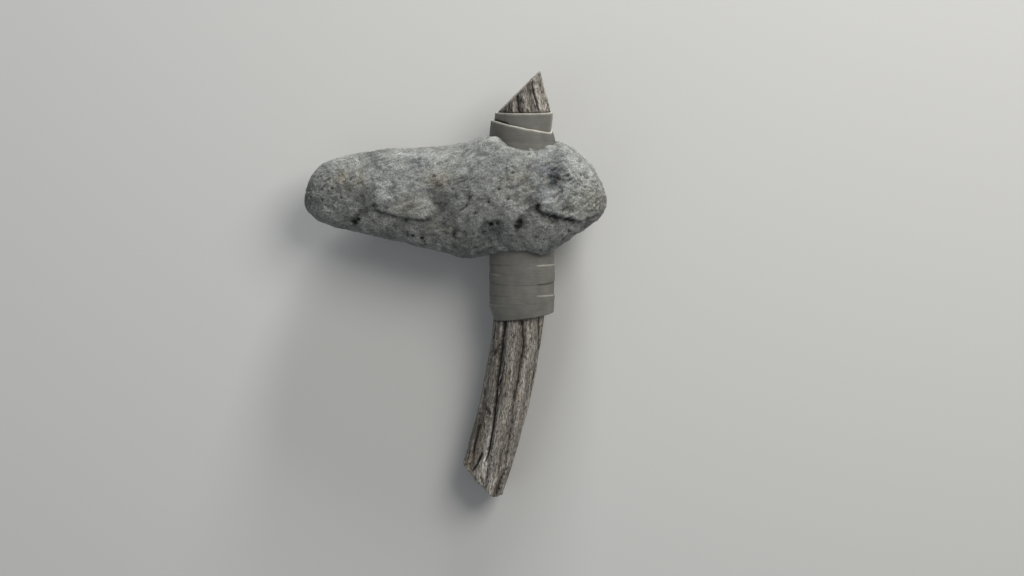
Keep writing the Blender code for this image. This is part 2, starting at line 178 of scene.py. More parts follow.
# The poll's slope is rougher than the rest by this share, from the first x to the second.
POLL_ROUGHNESS = 0.55
POLL_SLOPE = (8 * MM, 32 * MM)
# How far from the bore its rim is rubbed down, how far a painted contact shadow reaches round the bore's
# mouth, and how dark it is.
MOUTH_WEAR_REACH = 2.2 * MM
MOUTH_SHADE_REACH = 1.3 * MM
MOUTH_SHADE = 0.8
# A hollow this deep counts as 1 in the painted shade, and wide hollows count for less. Passes
# that soften the relief, to find what lies deeper than its surroundings.
HOLLOW_DEPTH = 0.9 * MM
WIDE_HOLLOWS = 0.15
FINE_PASSES = 40
BROAD_PASSES = 220
# Painted shade in hollows, under ledges, in clefts and in pits, for each millimetre of depth.
HOLLOW_SHADE = 0.15
LEDGE_SHADE = 0.05
CLEFT_SHADE = 0.16
PIT_SHADE = 0.28

# Hollows (depth above 0) and swells: side (1 front, -1 belly), x, y, radius along, radius up
# and depth.
HOLLOWS_MM = (
    (1, -56.0, -13.5, 7.6, 18.6, 2.2),
    (1, -37.9, -32.2, 13.6, 11.9, 2.2),
    (1, 16.0, 11.0, 17.0, 13.0, 1.9),
    (1, -107.6, 25.4, 10.2, 6.8, 1.2),
    (1, -121.2, -17.0, 8.5, 8.5, 1.5),
    (1, -2.5, -21.5, 6.0, 6.5, 2.2),
    (1, -21.4, -27.7, 9.0, 8.5, 2.4),
    (1, -75.6, 23.1, 7.5, 4.2, 1.0),
    (1, -75.8, 1.7, 18.6, 13.6, -1.4),
    (1, 45.0, 1.7, 13.6, 11.9, -1.9),
    (1, -57.0, 26.0, 10.0, 5.0, -0.8),
    (1, -88.0, -22.0, 9.0, 5.0, 0.9),
    (1, 30.0, -26.0, 9.0, 6.0, -1.0),
    (1, -93.0, -2.0, 11.0, 7.0, -1.6),
    (1, 23.0, -4.0, 10.0, 6.0, -1.9),
    (1, -110.0, -4.0, 5.0, 6.0, 1.2),
    (1, 6.0, -6.0, 5.0, 7.0, 1.3),
    (1, -72.8, 23.9, 6.0, 3.4, 0.5),
    (1, 24.0, 15.0, 6.0, 9.0, 2.6),
    (1, 40.0, 20.0, 8.0, 5.0, -2.0),
    (1, 33.0, 25.0, 5.0, 6.0, -1.8),
    (1, 48.0, 12.0, 6.0, 5.0, -1.4),
    (1, -99.0, -2.0, 5.0, 4.0, -1.3),
    (1, 17.0, -2.5, 5.0, 4.0, -1.3),
    (1, -115.8, -18.5, 4.5, 3.6, 1.3),
    (1, -2.0, -19.5, 4.5, 4.0, 1.2),
    (-1, -83.3, 10.2, 22.0, 12.7, 1.9),
    (-1, -37.9, -20.3, 16.9, 11.0, 2.2),
    (-1, 26.6, 15.2, 17.0, 13.6, 2.2),
    (-1, -118.2, -6.8, 11.9, 11.9, -1.5),
)

# Shoulders that stand up on the front beside the bore's mouth: x, z, radius along, radius out
# of the front, and height. Between the two heights of SHOULDER_FOOT they rise to full height.
SHOULDERS_MM = (
    (-15.5, 18.0, 6.5, 10.0, 4.2),
    (-25.0, 24.0, 8.0, 15.0, 2.4),
)
SHOULDER_FOOT = (12.7 * MM, 32.2 * MM)

# Ledges, where the stone to the left of the line stands proud of the other: side, points,
# step and reach. The slope runs between these two distances from the line.
LEDGE_SLOPE_MM = (-1.6, 3.8)
LEDGES_MM = (
    (1, ((-105.1, -4.6), (-102.4, -10.3), (-98.4, -12.0), (-88.3, -14.4), (-78.2, -16.4),
         (-68.8, -17.0), (-58.0, -14.6)), 4.0, 9.0),
    (1, ((10.8, -5.0), (13.2, -11.3), (18.5, -13.8), (26.1, -15.0), (33.7, -16.6),
         (41.3, -17.4), (48.9, -15.5), (56.5, -11.5)), 4.4, 10.0),
    (1, ((-31.5, -26.0), (-29.5, -21.6), (-25.6, -18.6), (-20.6, -18.2), (-14.0, -17.0)), 2.2, 6.0),
    (1, ((-119.8, -19.0), (-115.8, -14.3), (-112.5, -10.9), (-107.8, -8.9)), 1.6, 3.5),
    (1, ((-5.0, -19.1), (1.0, -13.2), (6.5, -9.9)), 1.9, 3.5),
    (1, ((-72.9, -0.9), (-68.0, -0.4), (-63.5, 2.5)), 1.2, 3.0),
    (-1, ((-60.0, 4.0), (-78.0, 7.0), (-96.0, 3.0), (-110.0, 6.0)), 1.6, 6.0),
    (-1, ((44.0, -2.0), (28.0, 2.0), (12.0, -3.0)), 1.8, 6.0),
)

# Clefts: side, points, half width and depth.
CLEFTS_MM = (
    (1, ((11.0, -5.6), (15.5, -7.6), (21.0, -8.6)), 1.2, 1.9),
    (1, ((-104.6, -5.2), (-100.0, -7.4), (-93.5, -8.6)), 1.2, 1.9),
    (1, ((-35.4, 0.7), (-38.2, -4.4), (-41.0, -8.0), (-46.0, -14.5)), 0.9, 1.7),
    (1, ((-46.0, -14.5), (-48.3, -20.6), (-48.0, -31.0)), 1.8, 1.4),
    (1, ((-48.9, 29.4), (-45.6, 28.0), (-43.4, 24.6)), 0.5, 1.0),
    (1, ((-42.2, 28.4), (-39.6, 31.4)), 0.5, 0.9),
    (1, ((-52.0, -2.0), (-57.0, -5.5), (-61.5, -5.0)), 0.5, 0.7),
    (1, ((-12.0, 17.0), (-6.0, 16.0), (0.5, 18.0)), 0.6, 0.5),
    (1, ((40.0, -2.0), (47.0, 2.6), (54.0, 3.4)), 0.7, 0.8),
    (1, ((8.6, -29.6), (12.4, -29.4)), 0.6, 1.2),
    (-1, ((-70.0, -18.0), (-62.0, -8.0), (-57.0, 4.0)), 0.8, 1.0),
    (-1, ((10.0, 28.0), (14.0, 12.0), (11.0, 4.0)), 0.8, 0.9),
)

# Pits: side, x, y, radius and depth.
PITS_MM = (
    (1, -114.6, -17.6, 1.4, 1.5),
    (1, -117.3, -20.7, 1.5, 1.9),
    (1, -119.6, -20.0, 0.9, 1.2),
    (1, -22.1, -20.6, 1.2, 2.6),
    (1, -18.0, -20.0, 1.0, 1.2),
    (1, -0.8, -19.1, 1.2, 1.3),
    (1, -3.4, -22.7, 1.3, 1.6),
    (1, -5.4, -21.9, 0.8, 1.0),
    (1, -133.3, 5.2, 0.9, 1.4),
    (1, -126.2, -1.2, 0.9, 1.3),
    (1, -148.0, -0.9, 0.8, 1.0),
    (1, -139.6, -2.9, 0.9, 1.2),
    (1, -149.6, 3.2, 0.6, 0.8),
    (1, -61.0, 13.6, 1.0, 1.2),
    (1, -63.1, 11.0, 0.8, 1.0),
    (1, -77.2, -28.4, 0.9, 1.6),
    (1, -80.6, -25.7, 0.7, 1.2),
    (1, -70.5, -30.7, 1.0, 1.9),
    (1, -68.0, -32.6, 0.7, 1.4),
    (1, -79.2, 31.2, 0.6, 0.9),
    (1, -23.6, -4.6, 0.9, 1.5),
    (1, -33.5, -12.7, 1.0, 1.1),
    (1, -16.1, 4.4, 0.9, 1.3),
    (1, -9.7, -2.0, 0.8, 1.2),
    (1, 15.6, -30.4, 0.8, 1.1),
    (1, 13.8, -33.0, 0.7, 0.9),
    (1, 21.5, -25.4, 0.6, 0.8),
    (1, 33.2, -25.5, 1.1, 1.5),
    (1, 28.4, -30.4, 0.8, 1.0),
    (1, 38.4, 8.8, 0.7, 0.9),
    (1, -54.0, -0.8, 0.8, 1.0),
    (-1, -92.0, -10.0, 1.6, 1.5),
    (-1, 4.0, -24.0, 1.8, 1.6),
    (-1, -48.0, 16.0, 1.4, 1.3),
)

# Patches of other colour on the stone: side, x, y, radius along, radius up and strength.
BLUE_PATCHES_MM = (
    (1, -72.8, 23.9, 6.0, 3.4, 0.7),
    (1, -96.0, 13.0, 9.0, 6.0, 0.6),
    (1, -137.0, 10.0, 6.0, 6.0, 0.5),
    (1, 22.0, 15.0, 8.0, 11.0, 1.2),
    (1, 10.0, 6.0, 9.0, 7.0, 0.5),
    (1, -24.0, 14.0, 12.0, 6.0, 0.45),
    (1, -19.4, -28.5, 8.5, 8.0, 1.0),
    (1, 21.0, -34.0, 7.0, 4.0, 0.8),
    (1, -96.0, 2.0, 6.0, 4.0, 0.5),
    (-1, -83.0, 10.0, 20.0, 12.0, 0.8),
    (-1, 26.0, 15.0, 15.0, 12.0, 0.8),
)
OCHRE_PATCHES_MM = (
    (1, -122.0, 11.5, 9.0, 6.0, 0.8),
    (1, -58.8, 11.5, 6.0, 4.0, 1.0),
    (1, -3.0, 8.0, 8.0, 5.0, 0.8),
    (1, 50.0, -4.0, 8.0, 6.0, 0.5),
    (1, -80.0, -8.0, 12.0, 5.0, 0.5),
    (1, -60.0, -24.0, 9.0, 6.0, 0.6),
    (-1, -50.0, -5.0, 14.0, 9.0, 0.7),
)

# Drying cracks and grooves seen on the haft's front: points down it, half width, depth and
# darkness, which is painted shade. A crack is seen at this share of its depth.
SEEN_CRACK_DEPTH = 0.45
HAFT_CRACKS_MM = (
    (((-12.1, -83.0), (-12.2, -88.9), (-12.9, -100.1), (-13.6, -106.0), (-14.2, -112.2),
      (-15.4, -120.0), (-16.2, -125.0), (-17.3, -131.0), (-17.9, -138.0)), 0.85, 3.0, 1.0),
    (((-17.3, -131.0), (-17.9, -143.3), (-19.4, -155.4), (-21.1, -167.5), (-23.3, -179.5),
      (-24.8, -184.7), (-26.3, -189.0)), 0.75, 3.0, 1.0),
    (((-11.9, -114.5), (-13.2, -123.4), (-14.9, -130.0), (-16.6, -133.5)), 0.55, 1.6, 1.0),
    (((-14.2, -134.0), (-15.3, -138.5), (-16.8, -141.6)), 0.5, 1.4, 1.0),
    (((0.0, -83.0), (0.2, -90.6), (0.9, -100.1), (0.2, -110.5), (-0.9, -116.5), (-2.2, -124.3),
      (-3.0, -131.2), (-5.0, -139.0), (-6.3, -146.7)), 0.85, 1.6, 0.85),
    (((-6.0, -144.0), (-6.9, -152.8), (-7.8, -164.0), (-9.1, -170.9), (-10.4, -179.5),
      (-11.7, -185.6)), 0.6, 0.9, 0.6),
    (((11.2, -82.0), (11.4, -90.6), (11.6, -96.7), (11.2, -106.2), (10.3, -113.9), (8.9, -120.0),
      (7.8, -126.0), (6.0, -132.9), (5.4, -138.1)), 0.9, 1.7, 1.0),
    (((6.0, -134.0), (5.2, -143.3), (3.0, -153.7), (1.5, -158.8), (-0.9, -163.1)), 0.6, 1.1, 0.9),
    (((14.1, -98.4), (12.7, -112.2), (11.6, -122.6), (9.5, -132.9), (7.8, -143.3)), 0.7, 1.1, 0.9),
    (((6.9, -120.9), (4.6, -123.6), (2.2, -126.0)), 0.3, 0.4, 0.7),
    (((-0.2, -143.5), (1.6, -149.3), (3.6, -152.8)), 0.3, 0.4, 0.55),
    (((-19.0, -83.0), (-19.6, -96.0), (-20.6, -108.0), (-21.4, -118.0)), 0.7, 1.0, 0.6),
    (((-28.6, -159.0), (-31.0, -168.0), (-34.4, -181.4)), 0.75, 2.0, 1.0),
    (((-17.2, -86.0), (-17.8, -94.0)), 0.9, 1.2, 0.8),
    (((-16.6, -105.0), (-18.6, -108.4), (-20.0, -112.5)), 0.55, 1.2, 0.9),
    (((-22.6, -153.5), (-24.6, -149.0)), 0.7, 1.0, 0.85),
    (((-35.8, -177.0), (-38.8, -187.3)), 0.5, 1.2, 0.8),
    (((-27.6, -179.1), (-29.8, -184.7), (-34.3, -193.4)), 0.85, 2.8, 1.0),
    (((-10.6, -189.0), (-13.0, -194.0), (-15.3, -198.5), (-18.8, -208.9)), 0.7, 2.4, 1.0),
    (((-9.6, -192.0), (-10.6, -200.0), (-13.4, -209.0)), 0.4, 1.0, 0.75),
    (((-29.0, -197.0), (-26.8, -202.0)), 0.5, 1.2, 0.8),
    (((-23.7, -190.8), (-24.2, -198.5)), 0.45, 0.6, 0.5),
    (((6.7, 81.5), (7.6, 74.7), (9.2, 68.9), (10.6, 63.2), (11.9, 56.0)), 0.6, 1.8, 1.0),
    (((10.2, 81.5), (12.1, 73.8), (14.0, 67.3), (16.0, 56.0)), 0.9, 1.8, 1.0),
    (((14.1, 72.2), (15.8, 67.3), (18.1, 56.0)), 0.35, 0.6, 0.6),
    (((-3.7, 71.4), (-3.3, 67.3), (-2.7, 64.0), (-2.2, 56.0)), 0.5, 1.2, 1.0),
    (((-9.2, 67.0), (-9.6, 56.0)), 0.5, 1.2, 0.9),
    (((-6.9, 67.5), (-7.7, 56.0)), 0.35, 0.7, 0.65),
)

# Paler and darker streaks of the haft: points, half width and how much darker.
HAFT_STREAKS_MM = (
    (((-14.2, -84.0), (-14.7, -102.0)), 0.9, -1.0),
    (((-12.9, -116.0), (-14.6, -124.0), (-16.2, -129.5)), 0.6, -1.0),
    (((-15.6, -135.0), (-16.4, -139.5)), 0.5, -0.8),
    (((5.6, -84.0), (5.2, -100.0), (4.2, -112.0), (1.6, -124.0), (-0.6, -136.0), (-2.4, -148.0)),
     2.8, -0.9),
    (((1.6, -128.0), (1.0, -138.0)), 0.9, -1.0),
    (((-1.8, -148.0), (-4.0, -162.0)), 1.2, -0.6),
    (((12.8, -84.0), (13.0, -94.0)), 1.2, -0.8),
    (((-6.4, -86.0), (-8.6, -120.0), (-11.6, -148.0), (-15.0, -170.0)), 2.4, -0.35),
    (((-18.5, -95.0), (-20.5, -120.0), (-25.0, -145.0), (-32.0, -172.0)), 2.6, 0.5),
    (((-13.6, -188.0), (-17.2, -196.8), (-20.4, -204.5)), 1.7, -2.4),
    (((-9.5, -198.5), (-12.5, -209.8)), 0.7, -1.3),
    (((-21.0, -193.0), (-23.5, -203.0)), 1.2, -0.6),
    (((-24.0, -178.0), (-27.0, -187.5)), 0.6, -0.9),
    (((7.8, 80.0), (10.0, 72.2), (12.1, 64.4), (13.9, 57.0)), 1.0, -1.7),
    (((12.6, 79.0), (15.2, 70.0), (17.4, 58.0)), 0.7, -0.9),
    (((-2.0, 84.0), (-2.0, 54.0)), 9.0, 0.45),
    (((4.2, 79.0), (5.6, 70.0), (7.4, 58.0)), 1.6, 0.8),
    (((-8.0, 66.0), (-8.2, 57.0)), 1.2, 0.8),
    (((2.0, 76.0), (2.6, 57.0)), 0.9, -0.5),
    (((-5.2, 68.0), (-5.4, 57.0)), 0.8, -0.7),
    (((-10.8, 62.0), (-10.9, 57.0)), 0.6, -0.6),
    (((-12.8, 62.0), (-13.7, 57.0)), 2.0, 0.9),
)

# Short cracks across the grain: points, half width and depth.
CROSS_CRACKS_MM = (
    (((-17.0, -105.2), (-15.3, -103.7), (-13.0, -104.0)), 0.6, 1.4),
    (((-24.2, -151.0), (-22.9, -150.2)), 0.4, 0.7),
)

# The broad furrows: angle from the front towards the poll and half width, in degrees, and depth
# as a share of the haft's diameter.
FURROWS = (
    (-35.0, 7.0, 0.050),
    (3.0, 9.0, 0.028),
    (42.0, 8.0, 0.026),
    (82.0, 9.0, 0.040),
    (118.0, 8.0, 0.024),
    (158.0, 10.0, 0.036),
    (200.0, 8.0, 0.028),
    (236.0, 9.0, 0.045),
    (284.0, 8.0, 0.030),
)

# Dark, ragged knots and rotten spots of the haft: x, y, radius and depth.
KNOTS_MM = (
    (-16.3, -88.0, 1.1, 0.8),
    (-19.4, -109.0, 1.6, 1.4),
    (-24.8, -149.6, 1.4, 1.3),
    (-22.6, -152.2, 1.0, 0.8),
    (-26.8, -161.0, 1.2, 0.6),
    (-5.9, -98.0, 0.7, 0.6),
    (-9.2, -115.5, 0.7, 0.6),
    (6.0, -100.6, 0.7, 0.6),
    (-12.3, -139.5, 0.9, 0.6),
    (-21.6, -182.6, 0.8, 0.5),
    (-1.0, 65.8, 1.0, 0.7),
    (1.0, 65.2, 0.8, 0.7),
    (0.2, 60.4, 0.9, 0.5),
    (3.8, 60.0, 0.8, 0.5),
)

# How far the haft's relief runs on under a binding before it ends, and the painted contact shadow
# where the wood comes out of the hide: its strength and how far it reaches.
HIDDEN_RUN = 8 * MM
SEAM_SHADE = 0.9
SEAM_SHADE_REACH = 1.1 * MM
# How much darker the wood is painted, as shade, for a millimetre of depth between its fibres,
# for a furrow's depth as a share of the haft's radius, and where it is plain.
FIBRE_SHADE = 0.7
FURROW_SHADE = 7.0
PLAIN_TONE = -0.1

# The edges of the lower binding's turns. Each holds the share of its length on the bit side, in
# front and on the poll side; which turn lies over the other on the bit and poll sides (1 the
# lower, -1 the upper); how much painted highlight the edge gets at those sides; and how much painted shade.
LOWER_TURNS = (
    ((0.168, 0.128, 0.159), (-0.3, 0.8), (0.0, 1.0), (0.30, 0.0)),
    ((0.288, 0.277, 0.283), (0.45, 0.3), (0.5, 0.0), (0.18, 0.0)),
    ((0.419, 0.432, 0.409), (-0.3, -0.8), (0.0, 0.0), (0.30, 1.0)),
    ((0.632, 0.589, 0.617), (-0.3, 0.8), (0.0, 1.0), (0.30, 0.0)),
    ((0.751, 0.736, 0.744), (0.45, 0.3), (0.5, 0.0), (0.18, 0.0)),
)
LOWER_END = (1.0, 0.946, 0.88)
# How far round, as sines towards the poll, the bit side's and the poll side's marks reach.
BIT_MARKS = (-0.2, -0.9)
POLL_MARKS = (0.38, 0.56)
# Down a turn, the shares of its height where its rows lie: close at its edges.
TURN_ROWS = (0.0, 0.012, 0.03, 0.07, 0.14, 0.24, 0.36, 0.5, 0.64, 0.76, 0.86, 0.93, 0.97, 0.988, 1.0)
# How far an edge wanders, and half the gap between two turns.
RAGGED_EDGE = 0.15 * MM
HALF_GAP = 0.07 * MM
# The lower binding's turns lie this far inside the bore's radius and bulge by this much. Above
# the stone's foot they fill out to the bore between these heights. Between these heights over its
# end the binding is drawn in towards the haft, in front and by how much less at the poll side.
TURN_INSET = 0.35 * MM
TURN_BULGE = 0.10 * MM
TURN_WAVE = 0.08 * MM
FILLED_OUT = (6 * MM, 12 * MM)
DRAWN_IN_OVER = (12 * MM, -3 * MM)
DRAWN_IN_MM = (2.1, 1.5)
# The share of painted shade in every lap, and how much paler the poll side is painted all over, as painted
# light.
LAP_SHADE = 0.06
POLL_SIDE_PAINTED_LIGHT = 0.12
# The edge of the upper binding's flared turn: bit side, front and poll side.
UPPER_TURN = (0.70, 0.455, 0.22)
# Up the flared turn and up the closer one, the shares where their rows lie.
FLARED_ROWS = (0.0, 0.15, 0.3, 0.45, 0.6, 0.72, 0.82, 0.9, 0.95, 0.98)
CLOSER_ROWS = (0.02, 0.05, 0.1, 0.15, 0.2, 0.27, 0.35, 0.5, 0.65, 0.8, 0.88, 0.93, 0.97, 0.99)
# Round from the front towards the poll, the flared turn's raised corner and its half width.
RAISED_CORNER = 1.32
CORNER_WIDTH = 0.09
# The flare starts this far down the bore and bulges by this much. It stands off the closer turn,
# and the gap behind it goes down, by so many millimetres and so many more on the bit side.
FLARE_START = 1.5 * MM
FLARE_BULGE = 0.25 * MM
FLARE_WAVE = 0.08 * MM
CLOSER_WAVE = 0.07 * MM
FLARE_MM = (0.25, 1.0)
GAP_DEPTH_MM = (1.0, 4.5)
# At its edge the flared turn is this share of the strip's thickness.
FLARE_THINNED = 0.8
GAP_FLOOR = 0.02 * MM
EDGE_ROUNDING = 0.06 * MM
# How far down the flared turn's and the top's edges get a painted highlight, and how far up from
# the flared one the closer turn gets a painted shadow.
FLARE_PALENESS = 0.9 * MM
TOP_PALENESS = 0.95 * MM
EDGE_SHADOW = 0.9 * MM
# The gap behind the upper binding's flared turn, painted dark as shade: how far round from the
# front it shows, as a sine towards the poll, and how high it stands open.
GAP_SINE = (-0.36, -0.62)
GAP_HEIGHT = (0.8 * MM, 1.9 * MM)

# The studio's square lights: name, place, side, watts and colour.
LIGHTS = (
    ("key_light", (0.75, 0.75, 1.25), 0.9, 15.0, "#fffaf4"),
    ("rim_light", (0.35, 1.75, 0.42), 0.45, 31.0, "#ffffff"),
    ("fill_light", (-1.1, -0.9, 1.3), 1.8, 5.0, "#f2f6ff"),
)
SKY_COLOUR = "#e8ebee"
SKY_STRENGTH = 0.25
SENSOR_WIDTH_MM = 36.0
NEAREST_SEEN = 0.05
FLOOR_GAP = 0.1 * MM


def hex_colour(text):
    """An sRGB hex value as a linear, solid colour, by the sRGB curve."""
    parts = [int(text[i : i + 2], 16) / 255 for i in (1, 3, 5)]
    return (*(c / 12.92 if c <= 0.04045 else ((c + 0.055) / 1.055) ** 2.4 for c in parts), 1.0)


def smooth_step(low, high, value):
    """From 0 at `low` to 1 at `high`: 3 t^2 - 2 t^3 of the share t of the way between them."""
    t = np.clip((value - low) / (high - low), 0.0, 1.0)
    return t * t * (3 - 2 * t)


def curve_through(points, at):
    """A smooth curve through (place, value) points that doesn't overshoot them, read at `at`: a
    cubic in each span, whose slope at a point is the harmonic mean of the two beside it."""
    x, y = np.asarray(points, float).T
    span = np.diff(x)
    rise = np.diff(y) / span
    slope = np.zeros(len(x))
    slope[0], slope[-1] = rise[0], rise[-1]
    same_way = rise[:-1] * rise[1:] > 0
    mean = 2 * rise[:-1] * rise[1:] / np.where(same_way, rise[:-1] + rise[1:], 1.0)
    slope[1:-1] = np.where(same_way, mean, 0.0)
    i = np.clip(np.searchsorted(x, at) - 1, 0, len(span) - 1)
    t = (at - x[i]) / span[i]
    return (
        y[i] * (1 + 2 * t) * (1 - t) ** 2
        + y[i + 1] * t**2 * (3 - 2 * t)
        + span[i] * t * (1 - t) * (slope[i] * (1 - t) - slope[i + 1] * t)
    )


def tilted(points):
    """Points of the axe's own frame, turned about X by the resting tilt and moved to the bore."""
    sine, cosine = math.sin(RESTING_TILT), math.cos(RESTING_TILT)
    x, y, z = np.moveaxis(points, -1, 0)
    return np.stack([x, y * cosine - z * sine, y * sine + z * cosine], axis=-1) + BORE_CENTRE


def laid(points):
    """Points of the axe's own frame as the axe lies, and none of them below the floor."""
    placed = tilted(points)
    placed[..., 2] = np.maximum(placed[..., 2], 0.0)
    return placed


# Noise in space, for whole arrays of points.


def cell_random(cell, seed):
    """A number from 0 to 1 for each whole-number cell, always the same for the same cell."""
    mixed = np.full(cell.shape[:-1], seed * 2654435769 % 2**32, np.uint64)
    for axis, prime in enumerate((2246822519, 3266489917, 668265263)):
        mixed = mixed ^ (cell[..., axis].astype(np.int64).astype(np.uint64) * np.uint64(prime))
        mixed = (mixed ^ (mixed >> np.uint64(15))) * np.uint64(2246822519)
        mixed = (mixed ^ (mixed >> np.uint64(13))) & np.uint64(0xFFFFFFFF)
    return mixed.astype(float) / 2**32


def gradient_noise(points, size, seed):
    """Smooth noise from about -1 to 1: random slopes at the corners of cells, faded together."""
    place = points / np.asarray(size)
    cell = np.floor(place)
    inside = place - cell
    fade = inside**3 * (inside * (inside * 6 - 15) + 10)
    total = np.zeros(points.shape[:-1])
    for corner in np.ndindex(2, 2, 2):
        at = np.asarray(corner)
        weight = np.prod(np.where(at, fade, 1 - fade), axis=-1)
        slope = [cell_random(cell + at, seed + 101 * axis) * 2 - 1 for axis in range(3)]
        total += weight * np.sum(np.stack(slope, axis=-1) * (inside - at), axis=-1)
    return total * 1.6


def fractal_noise(points, size, octaves, seed, gain=0.5):
    """Gradient noise at a size, half of it, and so on, each weaker by the gain."""
    total = np.zeros(points.shape[:-1])
    for octave in range(octaves):
        total += gain**octave * gradient_noise(points, np.asarray(size) / 2**octave, seed + octave)
    return total


def cell_noise(points, size, seed):
    """The distance to the nearest of a scatter of points, one a cell, and that cell's number."""
    place = points / size
    cell = np.floor(place)
    nearest = np.full(points.shape[:-1], 9.0)
    number = np.zeros(points.shape[:-1])
    for step in np.ndindex(3, 3, 3):
        near = cell + np.asarray(step) - 1
        spot = near + np.stack([cell_random(near, seed + axis) for axis in range(3)], axis=-1)
        distance = np.linalg.norm(place - spot, axis=-1)
        closer = distance < nearest
        nearest = np.where(closer, distance, nearest)
        number = np.where(closer, cell_random(near, seed + 7), number)
    return nearest, number


# Meshes from grids.


def grid_faces(rings, sides, closed_rings=False):
    """Quads of a grid that closes round its sides, and round its rings too if asked."""
    ring = np.arange(rings if closed_rings else rings - 1)[:, None]
    side = np.arange(sides)[None, :]
    beside = (side + 1) % sides
    above = (ring + 1) % rings
    corners = (ring * sides + side, ring * sides + beside, above * sides + beside, above * sides + side)
    return np.stack(corners, axis=-1).reshape(-1, 4)


def cap_faces(ring_start, sides, pole, outward):
    """Triangles from one ring to the point that closes it."""
    side = np.arange(sides)
    beside = (side + 1) % sides
    pair = (beside, side) if outward else (side, beside)
    return np.stack([np.full(sides, pole), ring_start + pair[0], ring_start + pair[1]], axis=-1)


def closed_faces(rings, sides):
    """Quads of a grid, and the triangles that close it at the two poles listed after its points."""
    count = rings * sides
    caps = [cap_faces(0, sides, count, True), cap_faces(count - sides, sides, count + 1, False)]
    return grid_faces(rings, sides), np.concatenate(caps)


def end_means(grid):
    """The means of a grid's first and last rings, for the two poles."""
    return np.stack([grid[0].mean(axis=0), grid[-1].mean(axis=0)])


def make_piece(name, points, quads, triangles=None):
    """A smooth-shaded object at the origin, from arrays of points and faces."""
    mesh = bpy.data.meshes.new(name)
    triangles = np.zeros((0, 3), int) if triangles is None else triangles
    loops = np.concatenate([quads.ravel(), triangles.ravel()]).astype(np.int32)
    sizes = np.concatenate([np.full(len(quads), 4), np.full(len(triangles), 3)])
    starts = np.concatenate([[0], np.cumsum(sizes)[:-1]]).astype(np.int32)
    mesh.vertices.add(len(points))
    mesh.vertices.foreach_set("co", np.asarray(points, np.float32).ravel())
    mesh.loops.add(len(loops))
    mesh.loops.foreach_set("vertex_index", loops)
    mesh.polygons.add(len(sizes))
    mesh.polygons.foreach_set("loop_start", starts)
    mesh.update(calc_edges=True)
    mesh.validate()
    mesh.shade_smooth()
    piece = bpy.data.objects.new(name, mesh)
    bpy.context.scene.collection.objects.link(piece)
    return piece


def store_mask(piece, name, red, green, blue=0.0):
    """Two or three values a point in one colour attribute."""
    layer = piece.data.attributes.new(name, "FLOAT_COLOR", "POINT")
    values = np.stack(np.broadcast_arrays(red, green, blue, 1.0), axis=-1)
    layer.data.foreach_set("color", values.astype(np.float32).ravel())


def store_vector(piece, name, vectors):
    """A vector a point in one attribute."""
    layer = piece.data.attributes.new(name, "FLOAT_VECTOR", "POINT")
    layer.data.foreach_set("vector", vectors.astype(np.float32).ravel())


def grid_normals(points):
    """Unit normals of a grid (rings, sides, 3) that closes round its sides: the step round it
    crossed with the step along it."""
    along = np.gradient(points, axis=0)
    round_it = np.roll(points, -1, axis=1) - np.roll(points, 1, axis=1)
    normal = np.cross(round_it, along)
    return normal / np.maximum(np.linalg.norm(normal, axis=-1, keepdims=True), 1e-12)


def softened(values, passes):
    """A grid of values averaged with its neighbours, this many times: each pass is a third of
    the value and a sixth of each of the four beside it."""
    for _ in range(passes):
        padded = np.concatenate([values[:1], values, values[-1:]])
        along = padded[:-2] + padded[2:]
        values = (2 * values + along + np.roll(values, 1, 1) + np.roll(values, -1, 1)) / 6
    return values


def line_distance(x, y, line):
    """Distance to a line of points, side of it (above 0 on its left) and share along it."""
    line = np.asarray(line, float)
    lengths = np.linalg.norm(np.diff(line, axis=0), axis=1)
    before = np.concatenate([[0], np.cumsum(lengths)])
    nearest = np.full(x.shape, np.inf)
    side = np.zeros(x.shape)
    share = np.zeros(x.shape)
    for i, length in enumerate(lengths):
        way = (line[i + 1] - line[i]) / length
        dx, dy = x - line[i, 0], y - line[i, 1]
        reach = dx * way[0] + dy * way[1]
        held = np.clip(reach, 0, length)
        distance = np.hypot(dx - held * way[0], dy - held * way[1])
        closer = distance < nearest
        nearest = np.where(closer, distance, nearest)
        side = np.where(closer, np.sign(way[0] * dy - way[1] * dx), side)
        share = np.where(closer, (before[i] + held) / before[-1], share)
    return nearest, side, share


# The stone head.


def stone_x(along):
    """Where a share along the stone is: of the bit's length before the bore, of the poll's after."""
    return np.where(along < 0, along * BIT_LENGTH, along * POLL_LENGTH)


def stone_turn(x):
    """The half turn from the bit to the poll, reached at x: its cosine falls evenly along x."""
    share = (x + BIT_LENGTH) / (BIT_LENGTH + POLL_LENGTH)
    return np.arccos(np.clip(1 - 2 * share, -1.0, 1.0))


def stone_profile(table, column, x):
    """A column of a table at x: a smooth curve over the turn, so that both ends are round."""
    table = np.asarray(table)
    places = stone_turn(stone_x(table[:, 0]))
    return curve_through(np.column_stack([places, table[:, column]]), stone_turn(x))


def lumps(x, y, z):
    """The stone's broad lumps: waves through space, added up."""
    out = np.zeros_like(y)
    for along, up, outward, phase, height in LUMPS:
        wave = 2 * math.pi * (along * x + up * y + outward * z) / STONE_HEIGHT + phase
        out += height * STONE_HEIGHT * np.sin(wave)
    return out


